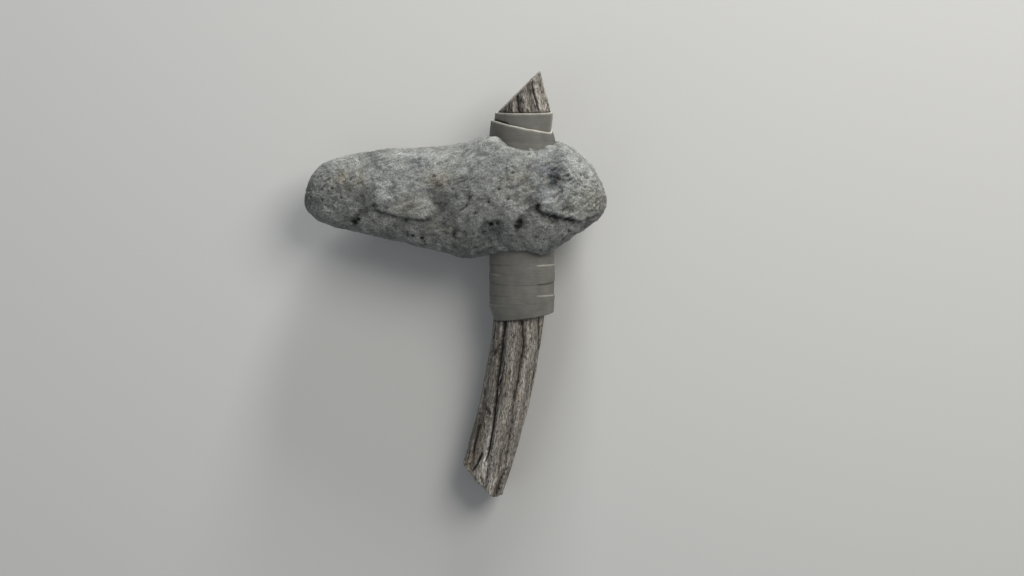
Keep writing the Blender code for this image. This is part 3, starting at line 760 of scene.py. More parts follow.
def stone_form(turn, around):
    """Rings of a squared ellipse from the bit to the poll: at an angle, the cosine up and the
    sine out, each times the outline's or the table's half size, divided by the root of the sum
    of their powers, and the lumps."""
    x = -BIT_LENGTH + (BIT_LENGTH + POLL_LENGTH) * (1 - np.cos(turn)) / 2
    top = stone_profile(STONE_OUTLINE, 1, x) * STONE_HEIGHT
    bottom = stone_profile(STONE_OUTLINE, 2, x) * STONE_HEIGHT
    up, out = np.cos(around), np.sin(around)
    front, belly = (stone_profile(STONE_THICKNESS, column, x) for column in (1, 2))
    squareness = BOTTOM_SQUARENESS + (TOP_SQUARENESS - BOTTOM_SQUARENESS) * smooth_step(-0.5, 0.5, up)
    reach = (np.abs(up) ** squareness + np.abs(out) ** squareness) ** (-1 / squareness)
    y = (top + bottom) / 2 + (top - bottom) / 2 * up * reach
    z = np.where(out > 0, front, belly) * STONE_HALF_THICKNESS * out * reach
    x = np.broadcast_to(x, y.shape)
    lump = lumps(x, y, z) * np.sin(turn)
    return np.stack([x, y + 0.4 * up * lump, z + out * lump], axis=-1)


def nearness(y, z):
    """How much nearer to the reference view's eye a point is than the view's middle, as a
    share of the distance."""
    along = (y - VIEW_CENTRE[1]) * math.sin(VIEW_ANGLE)
    return (along + z * math.cos(VIEW_ANGLE)) / VIEW_DISTANCE


def as_seen(points):
    """X, and up the picture, of points in the reference view, in millimetres: what is across
    the view, divided by the point's share of the distance to the eye."""
    x, y, z = np.moveaxis(points, -1, 0)
    size = 1 / (1 - nearness(y, z))
    up = (y - VIEW_CENTRE[1]) * math.cos(VIEW_ANGLE) - z * math.sin(VIEW_ANGLE)
    return (VIEW_CENTRE[0] + (x - VIEW_CENTRE[0]) * size) / MM, (VIEW_CENTRE[1] + up * size) / MM


def stone_shoulders(points):
    """How far the stone's shoulders stand up: bells in x and z beside the bore's mouth."""
    x, y, z = np.moveaxis(points, -1, 0)
    out = np.zeros(x.shape)
    for at_x, at_z, along, deep, height in SHOULDERS_MM:
        away = ((x / MM - at_x) / along) ** 2 + ((z / MM - at_z) / deep) ** 2
        out += height * MM * np.exp(-away) * smooth_step(*SHOULDER_FOOT, y)
    return out


def stone_carving(points, normals):
    """Hollows, swells, ledges, clefts and pits, as heights out of the stone's surface, and the
    painted shade that darkens them. Hollows are bells, ledges smooth steps that fade with the
    distance, clefts bells across a line, and pits bells with flat floors."""
    x, y = as_seen(points)
    x = x + 0.9 * fractal_noise(points, 7 * MM, 3, 11)
    y = y + 0.9 * fractal_noise(points, 7 * MM, 3, 23)
    broken = 0.6 + 0.5 * gradient_noise(points, 5 * MM, 29)
    facing = {side: smooth_step(0.05, 0.45, side * normals[..., 2]) for side in (1, -1)}
    out = np.zeros(x.shape)
    painted_shade = np.zeros(x.shape)
    # Painted shade darkens each hollow, cleft and pit by its depth, and falls under each ledge.
    for side, at_x, at_y, wide, tall, depth in HOLLOWS_MM:
        near = np.exp(-(((x - at_x) / wide) ** 2) - ((y - at_y) / tall) ** 2)
        out -= depth * near * facing[side]
        painted_shade += HOLLOW_SHADE * depth * near * facing[side]
    for side, line, step, reach in LEDGES_MM:
        distance, left, share = line_distance(x, y, line)
        over = distance * left
        ends = smooth_step(0, 0.04, share) * smooth_step(1, 0.8, share)
        near = step * ends * facing[side] * np.exp(-distance / reach)
        crease = broken * np.exp(-(((over + 0.4) / 1.0) ** 2))
        out += near * (smooth_step(*LEDGE_SLOPE_MM, over) - 0.5 - 0.06 * crease)
        # Painted shade under the ledge's lip and along its crease.
        under = smooth_step(-1.6, 0.4, over) * smooth_step(5.0, 1.0, over)
        painted_shade += near * (LEDGE_SHADE * under + LEDGE_SHADE * crease)
    for side, line, half_width, depth in CLEFTS_MM:
        distance, _, share = line_distance(x, y, line)
        ends = smooth_step(-0.02, 0.15, share) * smooth_step(1.02, 0.85, share)
        near = depth * ends * facing[side] * broken * np.exp(-((distance / half_width) ** 2))
        out -= near
        painted_shade += CLEFT_SHADE * near
    for side, at_x, at_y, radius, depth in PITS_MM:
        near = depth * facing[side] * np.exp(-((np.hypot(x - at_x, y - at_y) / radius) ** 3))
        out -= near
        painted_shade += PIT_SHADE * near
    return out * MM, painted_shade


def stone_roughness(points):
    """The boulder's weathered skin, out of its surface: broken faces 16 mm across, grain from
    7 mm down, streaks, dimples, hairlines and small pits, each noise times its own height."""
    warp = np.stack([gradient_noise(points, 9 * MM, seed) for seed in (31, 37, 41)], axis=-1)
    moved = points + 2.2 * MM * warp
    faces = 1 - np.abs(gradient_noise(moved, 16 * MM, 43))
    grain = fractal_noise(moved, 7.0 * MM, 4, 47, 0.62)
    # Streaks that rise at 30 degrees towards the poll, 3.6 times as long as they are wide.
    along = (moved[..., 0] * 0.866 + moved[..., 1] * 0.5) / 3.6
    across = moved[..., 1] * 0.866 - moved[..., 0] * 0.5
    streaks = gradient_noise(np.stack([along, across, moved[..., 2]], axis=-1), 2.0 * MM, 67)
    lines = np.exp(-((gradient_noise(moved, 11 * MM, 53) / 0.05) ** 2))
    lines = lines * smooth_step(0.0, 0.5, gradient_noise(points, 19 * MM, 59))
    dimple = cell_noise(moved, 8.5 * MM, 79)[0]
    distance, number = cell_noise(moved, 5.2 * MM, 61)
    pits = np.exp(-((distance / (0.08 + 0.14 * number)) ** 3)) * (number > 0.5)
    relief = 1.0 * (faces - 0.7) + 0.66 * grain + 0.4 * streaks + 0.5 * (dimple - 0.5)
    return MM * (relief - 0.35 * lines - 0.8 * pits)


def patches(points, normals, spots, seed):
    """Soft-edged, broken patches, as strengths from 0 to 1: bells times noise, added up."""
    x, y = as_seen(points)
    ragged = 0.3 + 0.55 * fractal_noise(points, 8 * MM, 3, seed)
    out = np.zeros(x.shape)
    for side, at_x, at_y, wide, tall, strength in spots:
        near = np.exp(-(((x - at_x) / (1.4 * wide)) ** 2) - ((y - at_y) / (1.4 * tall)) ** 2)
        out += strength * near * smooth_step(0.0, 0.5, side * normals[..., 2])
    return np.clip(out * ragged, 0, 1)


def stone_surface(settings):
    """The stone's grid, moved out along its normals by the carving and the skin, with how deep
    in a hollow each point lies, which is painted as shade."""
    turn = np.linspace(0.0, math.pi, STONE_RINGS + 2)[1:-1, None]
    even = np.linspace(0.0, 2 * math.pi, STONE_SIDES, endpoint=False)[None, :]
    around = even + FRONT_CROWDING * np.cos(even)
    form = stone_form(turn, around)
    normals = grid_normals(form)
    end_fade = smooth_step(0.0, END_FADE, np.sin(turn))
    skin = stone_roughness(form) * settings.roughness_height
    rough = skin * (END_ROUGHNESS + (1 - END_ROUGHNESS) * end_fade)
    rough = rough * (1 + POLL_ROUGHNESS * smooth_step(*POLL_SLOPE, form[..., 0]))
    carved, painted_shade = stone_carving(form, normals)
    height = carved * end_fade + rough
    from_bore = np.hypot(form[..., 0], form[..., 2]) - BORE_RADIUS
    height = height - settings.mouth_wear * np.exp(-((from_bore / MOUTH_WEAR_REACH) ** 2))
    inward = np.maximum(height, 0) * HELD_BACK
    surface = form + (height - inward)[..., None] * normals
    surface[..., 1] += stone_shoulders(form)
    # The depth mask is painted shade: how much deeper a point lies than its softened relief, finely and
    # broadly, and the carving's painted shade. Raised places get negative values and come out paler.
    fine = softened(height, FINE_PASSES)
    broad = softened(fine, BROAD_PASSES)
    depth_shade = (fine - height) / HOLLOW_DEPTH + WIDE_HOLLOWS * (broad - height) / MM + painted_shade * end_fade
    # A painted contact shadow round the bore's mouth, where the stone meets the bindings.
    depth_shade = depth_shade + MOUTH_SHADE * np.exp(-((from_bore / MOUTH_SHADE_REACH) ** 2))
    return surface, normals, depth_shade


def stone_piece(settings):
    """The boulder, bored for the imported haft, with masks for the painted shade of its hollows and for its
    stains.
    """
    surface, normals, depth_shade = stone_surface(settings)
    blue = patches(surface, normals, BLUE_PATCHES_MM, 71)
    ochre = patches(surface, normals, OCHRE_PATCHES_MM, 73)
    points = np.concatenate([laid(surface).reshape(-1, 3), laid(end_means(surface))])
    quads, caps = closed_faces(STONE_RINGS, STONE_SIDES)
    piece = make_piece("boulder_head", points, quads[:, ::-1], caps[:, ::-1])
    masks = [np.append(mask.ravel(), [0.0, 0.0]) for mask in (depth_shade, blue, ochre)]
    store_mask(piece, "stone_mask", *masks)
    bore = bore_tool()
    cut = piece.modifiers.new("bore", "BOOLEAN")
    cut.operation = "DIFFERENCE"
    cut.solver = "MANIFOLD"
    cut.object = bore
    bored = piece.evaluated_get(bpy.context.evaluated_depsgraph_get())
    cut_mesh = bpy.data.meshes.new_from_object(bored)
    piece.modifiers.clear()
    piece.data = cut_mesh
    bpy.data.objects.remove(bore, do_unlink=True)
    return piece


def bore_tool():
    """A closed cylinder along the bore, longer than the stone is high."""
    around = np.linspace(0.0, 2 * math.pi, BORE_SIDES, endpoint=False)
    ring = np.stack([BORE_RADIUS * np.sin(around), 0 * around, BORE_RADIUS * np.cos(around)], axis=-1)
    ends = [ring + (0, height, 0) for height in (-STONE_HEIGHT, STONE_HEIGHT)]
    points = np.concatenate(ends + [np.array([[0, -STONE_HEIGHT, 0], [0, STONE_HEIGHT, 0]])])
    return make_piece("bore_tool", tilted(points), *closed_faces(2, BORE_SIDES))


# Heights along the haft that its pieces share.

STONE_TOP = float(stone_profile(STONE_OUTLINE, 1, np.array(0.0))) * STONE_HEIGHT
STONE_BOTTOM = float(stone_profile(STONE_OUTLINE, 2, np.array(0.0))) * STONE_HEIGHT
UPPER_BINDING_TOP = STONE_TOP + UPPER_BINDING_LENGTH
TIP_HEIGHT = UPPER_BINDING_TOP + TIP_LENGTH
LOWER_BINDING_BOTTOM = STONE_BOTTOM - LOWER_BINDING_LENGTH
BUTT_HEIGHT = LOWER_BINDING_BOTTOM - GRIP_LENGTH
BEND_HEIGHT = STONE_BOTTOM - BEND_BELOW_STONE


# The haft.


def haft_axis(y):
    """The haft's middle line: straight in the head, an arc and then a straight run below it,
    a slight sway above, and a straight lean back to the tip."""
    drop = np.maximum(BEND_HEIGHT - y, 0.0)
    bent = np.minimum(drop, BEND_LENGTH)
    level = np.sqrt(BEND_RADIUS**2 - bent**2)
    arc = BEND_RADIUS - level + (drop - bent) * bent / level
    sway = TIP_SWAY * smooth_step(STONE_TOP, UPPER_BINDING_TOP, y)
    return sway - TIP_LEAN * np.maximum(y - UPPER_BINDING_TOP, 0.0) / TIP_LENGTH - arc


def haft_radius(y):
    """Half the haft's diameter at a height: even tapers to the tip and, eased, to the grip."""
    to_tip = np.clip((y - UPPER_BINDING_TOP) / TIP_LENGTH, 0.0, 1.0)
    to_grip = smooth_step(STONE_BOTTOM, LOWER_BINDING_BOTTOM, y)
    thick = HAFT_DIAMETER + (TIP_DIAMETER - HAFT_DIAMETER) * to_tip
    return (thick + (GRIP_DIAMETER - HAFT_DIAMETER) * to_grip) / 2


def grain_turn(y):
    """How far the grain has turned round the haft at a height: faster towards the butt."""
    share = (LOWER_BINDING_BOTTOM - y) / GRIP_LENGTH
    return GRAIN_TWIST * (EARLY_TWIST * share + (1 - EARLY_TWIST) * np.maximum(share, 0.0) ** 2)


def turned_away(angle):
    """An angle brought to between half a turn back and half a turn on."""
    return (angle + math.pi) % (2 * math.pi) - math.pi


def furrows(around, y):
    """How far the haft's broad furrows cut in: a bell across each, turning with the grain."""
    out = np.zeros(np.broadcast(around, y).shape)
    for angle, half_width, share in FURROWS:
        away = turned_away(around - math.radians(angle) - grain_turn(y))
        out += share * HAFT_DIAMETER * np.exp(-((away / math.radians(half_width)) ** 2))
    return out


def haft_point(around, y, depth=0.0):
    """The haft's surface at an angle and a height, with its furrows and cut in by a depth."""
    radius = haft_radius(y) - furrows(around, y) - depth
    return haft_axis(y) + radius * np.sin(around), radius * np.cos(around)


def grain_place(around, y, share=1.0):
    """Where a point lies in the wood, with the grain's twist taken out."""
    turned = around - grain_turn(y)
    radius = share * haft_radius(y)
    return np.stack([radius * np.sin(turned), radius * np.cos(turned), y], axis=-1)


def line_on_haft(around, y, line, wobble, deeper, cut=0.0):
    """How far round the haft a line of seen points is, and how much of it is there at y. The
    line shows at a depth of `cut`. Each point's angle and height are found by going round:
    radius, then height, then angle."""
    across, seen = (np.asarray(line) * MM).T
    angle, height = np.zeros(len(line)), seen
    for _ in range(8):
        radius = haft_radius(height) - (1 + deeper) * furrows(angle, height) - cut
        out = radius * np.cos(angle)
        size = 1 - nearness(height, out)
        up = (seen - VIEW_CENTRE[1]) * size + out * math.sin(VIEW_ANGLE)
        height = VIEW_CENTRE[1] + up / math.cos(VIEW_ANGLE)
        x = VIEW_CENTRE[0] + (across - VIEW_CENTRE[0]) * size
        angle = np.arcsin(np.clip((x - haft_axis(height)) / radius, -0.98, 0.98))
    order = np.argsort(height)
    low, high = height[order[0]], height[order[-1]]
    at = curve_through(np.column_stack([height, angle])[order], np.clip(y, low, high))
    reach = 0.10 * (high - low)
    ends = smooth_step(low - 0.2 * reach, low + reach, y)
    ends = ends * smooth_step(high + 0.2 * reach, high - reach, y)
    return np.abs(turned_away(around - at) * haft_radius(y) + wobble), ends


def seen_on_haft(around, y, deeper):
    """X, and up the picture, of the haft's front, in millimetres."""
    x, z = haft_point(around, y, deeper * furrows(around, y))
    return as_seen(np.stack([x, y, z], axis=-1))


def haft_tone(around, y, deeper):
    """How much darker than its middle tone the wood is: bells across the streaks seen from the
    front."""
    spot = grain_place(around, y)
    wobble = 0.4 * MM * fractal_noise(spot * (1, 1, 0.2), 2.6 * MM, 2, 89)
    tone = np.zeros(y.shape)
    for line, half_width, darker in HAFT_STREAKS_MM:
        away, ends = line_on_haft(around, y, line, wobble, deeper)
        tone += darker * ends * np.exp(-((away / (half_width * MM)) ** 2))
    return tone


def haft_cracks(around, y, deeper):
    """How deep the haft is cracked at an angle and a height, and how dark that looks: painted shade
    in the cracks and the knots' own dark, the most of bells across the cracks and of smooth steps round the
    knots."""
    spot = grain_place(around, y)
    wobble = 0.25 * MM * fractal_noise(spot * (1, 1, 0.25), 2.0 * MM, 2, 83)
    depth = np.zeros(y.shape)
    dark = np.zeros(y.shape)
    for line, half_width, deep, darkness in HAFT_CRACKS_MM:
        away, ends = line_on_haft(around, y, line, wobble, deeper, SEEN_CRACK_DEPTH * deep * MM)
        away = away / (half_width * MM)
        narrow = np.exp(-((away / np.maximum(ends, 0.15)) ** 1.6))
        depth = np.maximum(depth, deep * MM * ends * narrow)
        dark = np.maximum(dark, darkness * ends * np.exp(-((away / 1.1) ** 2)))
    x, up = seen_on_haft(around, y, deeper)
    front = smooth_step(0.1, 0.4, np.cos(around))
    for line, half_width, deep in CROSS_CRACKS_MM:
        distance, _, _ = line_distance(x, up, line)
        near = np.exp(-((distance / half_width) ** 2)) * front
        depth = np.maximum(depth, deep * MM * near)
        dark = np.maximum(dark, near)
    ragged_x = x + 0.9 * fractal_noise(spot, (1.6 * MM, 1.6 * MM, 4 * MM), 2, 93)
    ragged_up = 0.7 * fractal_noise(spot, 2.2 * MM, 2, 95)
    for knot_x, knot_y, radius, deep in KNOTS_MM:
        away = np.hypot(ragged_x - knot_x, 0.6 * (up - knot_y) + ragged_up)
        near = smooth_step(1.35 * radius, 0.25 * radius, away) * front
        depth = np.maximum(depth, deep * MM * near)
        dark = np.maximum(dark, 0.7 * near)
    return depth, dark


def haft_fibres(around, y):
    """The weathered wood's grooves and ridges, as depths: noise drawn out along the grain, each
    times its own height."""
    spot = grain_place(around, y)
    coarse = fractal_noise(spot, (2.4 * MM, 2.4 * MM, 60 * MM), 3, 91, 0.6)
    fine = gradient_noise(spot, (1.0 * MM, 1.0 * MM, 9 * MM), 97)
    lumpy = fractal_noise(spot, (8 * MM, 8 * MM, 30 * MM), 2, 101)
    return MM * (0.34 * coarse + 0.22 * fine + 0.45 * lumpy)


def tip_cut(x, z):
    """The height of the slanting cut across the tip: an even slope and its split fibres."""
    apex = haft_axis(TIP_HEIGHT) + haft_radius(TIP_HEIGHT)
    spot = np.stack([x, 0 * x, z], axis=-1)
    split = 0.35 * MM * fractal_noise(spot, 2.4 * MM, 2, 107)
    return TIP_HEIGHT + math.tan(TIP_CUT_ANGLE) * (x - apex) + split


def butt_cut(x, z):
    """The height of the butt's cut: a long slant, a short heel and torn fibres."""
    lowest = haft_axis(BUTT_HEIGHT) + BUTT_HEEL_PLACE * haft_radius(BUTT_HEIGHT)
    slant = math.tan(BUTT_CUT_ANGLE) * np.maximum(lowest - x, 0.0)
    heel = math.tan(BUTT_HEEL_ANGLE) * np.maximum(x - lowest, 0.0)
    spot = np.stack([x, 0 * x, z], axis=-1)
    torn = fractal_noise(spot, (3.2 * MM, 3.2 * MM, 6 * MM), 3, 109, 0.6)
    return BUTT_HEIGHT + slant + heel + 1.3 * MM * (0.5 + torn)


def meet_cut(around, start, cut):
    """The height where the line up the haft at each angle meets a cut, found by going half-way
    to it, again and again."""
    y = np.full_like(around, start)
    for _ in range(16):
        y = 0.5 * (y + cut(*haft_point(around, y)))
    return y


def cut_face(ring, grain, cut):
    """Rings that shrink from the haft's end to its middle and lie on the cut, outermost first,
    with their places in the wood."""
    share = np.linspace(1, 0, CUT_ROWS + 1)[1:-1, None]
    x = ring[:, 0].mean() + (ring[:, 0] - ring[:, 0].mean()) * share
    z = ring[:, 2].mean() + (ring[:, 2] - ring[:, 2].mean()) * share
    y = cut(x, z)
    y = y + (ring[:, 1] - y) * smooth_step(0.9, 1.0, share)
    spread = np.stack([share, share, np.ones_like(share)], axis=-1)
    return np.stack([x, y, z], axis=-1), grain * spread


def haft_piece(settings):
    """The branch: columns from the butt's cut to the tip's, closed by the two cut faces. Its
    relief ends under the bindings."""
    around = np.linspace(0.0, 2 * math.pi, HAFT_SIDES, endpoint=False)
    low = meet_cut(around, BUTT_HEIGHT, butt_cut)
    high = meet_cut(around, TIP_HEIGHT, tip_cut)
    hidden = (LOWER_BINDING_BOTTOM + HIDDEN_RUN, UPPER_BINDING_TOP - HIDDEN_RUN)
    stops = [low, *(np.full(HAFT_SIDES, height) for height in hidden), high]
    shares = [np.linspace(0, 1, count, endpoint=False)[:, None] for count in HAFT_ROWS]
    rows = [a + (b - a) * share for a, b, share in zip(stops[:-1], stops[1:], shares)]
    y = np.concatenate(rows + [high[None, :]])
    wide = np.broadcast_to(around, y.shape)
    cracked, dark = haft_cracks(wide, y, settings.furrow_depth)
    under = smooth_step(hidden[0], LOWER_BINDING_BOTTOM, y)
    bare = np.maximum(under, smooth_step(hidden[1], UPPER_BINDING_TOP, y))
    fibres = haft_fibres(wide, y)
    furrowed = furrows(wide, y)
    relief = cracked * settings.crack_depth + fibres + settings.furrow_depth * furrowed
    x, z = haft_point(wide, y, bare * relief)
    side = np.stack([x, y, z], axis=-1)
    grain = grain_place(wide, y)
    # Painted shade by the depth of the fibre grooves and the furrows, with the streaks' own tone.
    tone = FIBRE_SHADE * fibres / MM + FURROW_SHADE * furrowed / haft_radius(y) + PLAIN_TONE
    tone = tone + haft_tone(wide, y, settings.furrow_depth)
    end = turn_edge(LOWER_END, -LOWER_BINDING_LENGTH, STONE_BOTTOM, wide)
    # A painted contact shadow where the wood comes out of each binding.
    for seam in (end, UPPER_BINDING_TOP):
        dark = np.maximum(dark, SEAM_SHADE * np.exp(-(((y - seam) / SEAM_SHADE_REACH) ** 2)))
    butt, butt_grain = cut_face(side[0], grain[0], butt_cut)
    tip, tip_grain = cut_face(side[-1], grain[-1], tip_cut)
    rings = np.concatenate([butt[::-1], side, tip])
    grain = np.concatenate([butt_grain[::-1], grain, tip_grain])
    plain = np.zeros(butt.shape[:2])
    masks = [
        np.concatenate([outer, inner, outer])
        for outer, inner in ((plain, dark * bare), (plain + 1, 0 * y), (plain, tone))
    ]
    points = np.concatenate([laid(rings).reshape(-1, 3), laid(end_means(rings))])
    piece = make_piece("branch_haft", points, *closed_faces(rings.shape[0], HAFT_SIDES))
    store_vector(piece, "grain", np.concatenate([grain.reshape(-1, 3), end_means(grain)]))
    store_mask(piece, "wood_mask", *[np.append(mask.ravel(), end_means(mask)) for mask in masks])
    return piece


# The two bindings.


def turn_edge(shares, length, start, around):
    """The height of a turn's edge round the haft: a slant from side to side, and a rise or a
    fall in front, from its shares of the binding's length on the bit side, front and poll side."""
    bit_side, front, poll_side = shares
    middle = (bit_side + poll_side) / 2
    across = (poll_side - bit_side) / 2 * np.sin(around)
    return start + length * (middle + across + (front - middle) * np.maximum(np.cos(around), 0))


def wound_points(around, y, centre, radius):
    """Points round a binding: circles of a radius about a middle line at each height."""
    around, y, centre, radius = np.broadcast_arrays(around, y, centre, radius)
    return np.stack([centre + radius * np.sin(around), y, radius * np.cos(around)], axis=-1)


def binding_piece(name, rows, mask_rows):
    """A tube closed both ways from rows of points, with a place on the strip and a mask a point."""
    points = np.stack([row[0] for row in rows])
    places = np.stack([row[1] for row in rows])
    count, sides = points.shape[:2]
    piece = make_piece(name, laid(points).reshape(-1, 3), grid_faces(count, sides, True))
    store_vector(piece, "strip", places.reshape(-1, 3))
    store_mask(piece, "hide_mask", *[np.stack(mask).ravel() for mask in zip(*mask_rows)])
    return piece


def strip_place(around, y):
    """A place on the strip: how far along it, how far across it, and nothing through it."""
    return np.stack([PACKED_RADIUS * around, y, 0 * y], axis=-1)


def lower_piece(settings):
    """From half-way down the bore to below the stone: lapped turns, with painted highlights and
    painted shade along their edges. A turn's radius runs evenly from one edge's lap to the next one's, with
    a half-wave's bulge."""
    around = np.linspace(0.0, 2 * math.pi, BINDING_SIDES, endpoint=False)
    across = smooth_step(-0.45, 0.55, np.sin(around))
    outside = PACKED_RADIUS - TURN_INSET
    still = np.zeros(BINDING_SIDES)
    bit_marks = smooth_step(*BIT_MARKS, np.sin(around))
    poll_marks = smooth_step(*POLL_MARKS, np.sin(around))
    # pale holds each edge's painted highlight, and dark its painted shade.
    edges, lies_over, pale, dark = [still - CLEARANCE / 2], [still], [still], [still]
    for shares, over, edge_light, darkness in LOWER_TURNS:
        edge = turn_edge(shares, -LOWER_BINDING_LENGTH, STONE_BOTTOM, around)
        spot = wound_points(around, edge, 0, PACKED_RADIUS)
        edges.append(edge + RAGGED_EDGE * fractal_noise(spot, 6 * MM, 2, len(edges) + 113))
        lies_over.append(over[0] + (over[1] - over[0]) * across)
        pale.append(edge_light[0] * bit_marks**3 + edge_light[1] * poll_marks)
        dark.append(LAP_SHADE + darkness[0] * bit_marks + darkness[1] * poll_marks)
    end = turn_edge(LOWER_END, -LOWER_BINDING_LENGTH, STONE_BOTTOM, around)
    # The last edge is the binding's end, with full painted shade along it.
    for values, last in ((edges, end), (lies_over, still), (pale, still), (dark, still + 1.0)):
        values.append(last)
    # Painted light: the poll side is painted paler all over.
    rubbed = POLL_SIDE_PAINTED_LIGHT * smooth_step(-0.1, 0.9, np.sin(around))
    rows, masks = [], []
    for i in range(len(edges) - 1):
        high, low = edges[i] - HALF_GAP, edges[i + 1] + HALF_GAP
        for share in TURN_ROWS:
            y = high + (low - high) * share
            down, up = (high - y) / MM, (y - low) / MM
            lap = settings.lap_height / 2 * (lies_over[i] * (1 - share) - lies_over[i + 1] * share)
            radius = outside + lap + TURN_BULGE * math.sin(math.pi * share)
            filled = smooth_step(STONE_BOTTOM + FILLED_OUT[0], STONE_BOTTOM + FILLED_OUT[1], y)
            radius = radius + (PACKED_RADIUS - radius) * filled
            drawn_in = smooth_step(end + DRAWN_IN_OVER[0], end + DRAWN_IN_OVER[1], y)
            radius = radius - drawn_in * (DRAWN_IN_MM[0] - DRAWN_IN_MM[1] * np.sin(around)) * MM
            spot = wound_points(around, y, 0, radius)
            wave = TURN_WAVE * (1 - filled) * fractal_noise(spot, (7 * MM, 3 * MM, 7 * MM), 2, 127)
            radius = radius + wave
            rows.append((wound_points(around, y, 0, radius), strip_place(around, y)))
            # In millimetres: painted shade lies below an edge and above the next, and the edge gets a
            # painted highlight.
            shade = dark[i] * np.exp(-((down / 0.55) ** 2))
            shade = shade + 0.7 * dark[i + 1] * np.exp(-((up / 0.4) ** 2))
            painted_highlight = pale[i] * np.exp(-((down / 0.8) ** 4)) + rubbed
            masks.append((np.clip(painted_highlight, 0, 1), np.clip(shade, 0, 1)))
    for y in (end, end * 0.6 + STONE_BOTTOM * 0.4, still + STONE_BOTTOM, still - CLEARANCE / 2):
        centre, radius = haft_axis(y), haft_radius(y) + CLEARANCE
        rows.append((wound_points(around, y, centre, radius), strip_place(around, y)))
        masks.append((still, still))
    return binding_piece("lower_hide_binding", rows[::-1], masks[::-1])


def upper_piece(settings):
    """A flared turn over a closer one: the profile runs up the flare, over its edge, down into
    the gap behind it, up the closer turn, over the top edge and down along the haft."""
    around = np.linspace(0.0, 2 * math.pi, BINDING_SIDES, endpoint=False)
    bit_side = smooth_step(0.75, -0.95, np.sin(around))
    in_gap = smooth_step(*GAP_SINE, np.sin(around))
    edge = turn_edge(UPPER_TURN, UPPER_BINDING_LENGTH, STONE_TOP, around)
    ragged = fractal_noise(wound_points(around, edge, 0, PACKED_RADIUS), 7 * MM, 2, 131)
    from_corner = turned_away(around - RAISED_CORNER) / CORNER_WIDTH
    edge = edge + RAGGED_EDGE * ragged + settings.strip_end * np.exp(-(from_corner**2))
    close = haft_radius(edge) + CLEARANCE + STRIP_THICKNESS
    thick = FLARE_THINNED * STRIP_THICKNESS
    gap_depth = (GAP_DEPTH_MM[0] + GAP_DEPTH_MM[1] * bit_side) * MM
    flare = close + thick + (FLARE_MM[0] + FLARE_MM[1] * bit_side) * MM
    flare = np.minimum(flare, PACKED_RADIUS)
    rows, masks = [], []

    def add(y, centre, radius, painted_highlight=0.0, shade=0.0):
        """Adds a row of points and its masks."""
        y, centre, radius = np.broadcast_arrays(y, centre, radius)
        rows.append((wound_points(around, y, centre, radius), strip_place(around, y)))
        masks.append(tuple(np.broadcast_to(value, y.shape) for value in (painted_highlight, shade)))

    centre = haft_axis(edge)
    foot = np.full(BINDING_SIDES, CLEARANCE / 2)
    for share in (0.0, 0.5, 0.8, 0.95):
        add(share * STONE_TOP + (1 - share) * foot, 0.0, PACKED_RADIUS)
    for share in FLARED_ROWS:
        y = STONE_TOP - FLARE_START + (edge - STONE_TOP + FLARE_START) * share
        wave = FLARE_WAVE * fractal_noise(wound_points(around, y, 0, PACKED_RADIUS), 8 * MM, 2, 137)
        bulge = FLARE_BULGE * math.sin(math.pi * share)
        radius = PACKED_RADIUS + (flare - PACKED_RADIUS) * share + wave * share + bulge * share
        # Painted highlight near the flared turn's edge, and painted shade over the rest of that turn.
        painted_highlight = np.exp(-(((edge - y) / FLARE_PALENESS) ** 4))
        add(y, centre * share, np.minimum(radius, PACKED_RADIUS), painted_highlight=painted_highlight, shade=0.3 * (1 - painted_highlight))
    # Painted highlight on the flared turn's rounded edge.
    for share, painted_highlight in ((0.0, 0.9), (0.5, 1.0), (1.0, 0.9)):
        rounded = EDGE_ROUNDING * math.sin(math.pi * share)
        add(edge + rounded, centre, flare - thick * share, painted_highlight=painted_highlight)
    inner_flare = flare - thick
    # The gap behind the flare is painted in full shade.
    for share in (0.15, 0.5, 0.9):
        y = edge - gap_depth * share
        add(y, centre, inner_flare + (close - inner_flare) * share**2, shade=1.0)
    add(edge - gap_depth, centre, close - GAP_FLOOR, shade=1.0)
    for share in (0.5, 0.85, 0.97):
        y = edge - gap_depth * (1 - share)
        add(y, haft_axis(y), close - GAP_FLOOR, shade=1.0 - 0.3 * share)
    top = UPPER_BINDING_TOP
    # Painted light on the far poll side.
    upper_poll_light = 0.45 * smooth_step(0.90, 0.99, np.sin(around))
    for share in CLOSER_ROWS:
        y = edge + (top - edge) * share
        wave = CLOSER_WAVE * fractal_noise(wound_points(around, y, 0, PACKED_RADIUS), 7 * MM, 2, 139)
        radius = haft_radius(y) + CLEARANCE + STRIP_THICKNESS + wave
        # Painted shadow above the flared turn's edge, most on the bit side, and painted dark shade where
        # the gap stands open.
        shade = 0.04 + 0.7 * np.exp(-((y - edge) / EDGE_SHADOW)) * (0.3 + 0.7 * bit_side)
        shade = np.maximum(shade, in_gap * smooth_step(GAP_HEIGHT[1], GAP_HEIGHT[0], y - edge))
        # Painted highlight on the top edge, and painted light on the poll side.
        painted_highlight = np.exp(-(((top - y) / TOP_PALENESS) ** 4)) + upper_poll_light
        add(y, haft_axis(y), radius, shade=shade, painted_highlight=np.minimum(painted_highlight, 1.0))
    rim = haft_radius(top) + CLEARANCE
    # Painted highlight on the top rim.
    for share in (0.0, 0.5, 1.0):
        add(np.full(BINDING_SIDES, top), haft_axis(top), rim + STRIP_THICKNESS * (1 - share), painted_highlight=1.0)
    for share in (0.1, 0.4, 0.7, 1.0):
        y = np.full(BINDING_SIDES, top) * (1 - share) + foot * share
        add(y, haft_axis(y), haft_radius(y) + CLEARANCE)
    return binding_piece("upper_hide_binding", rows, masks)


# Materials.


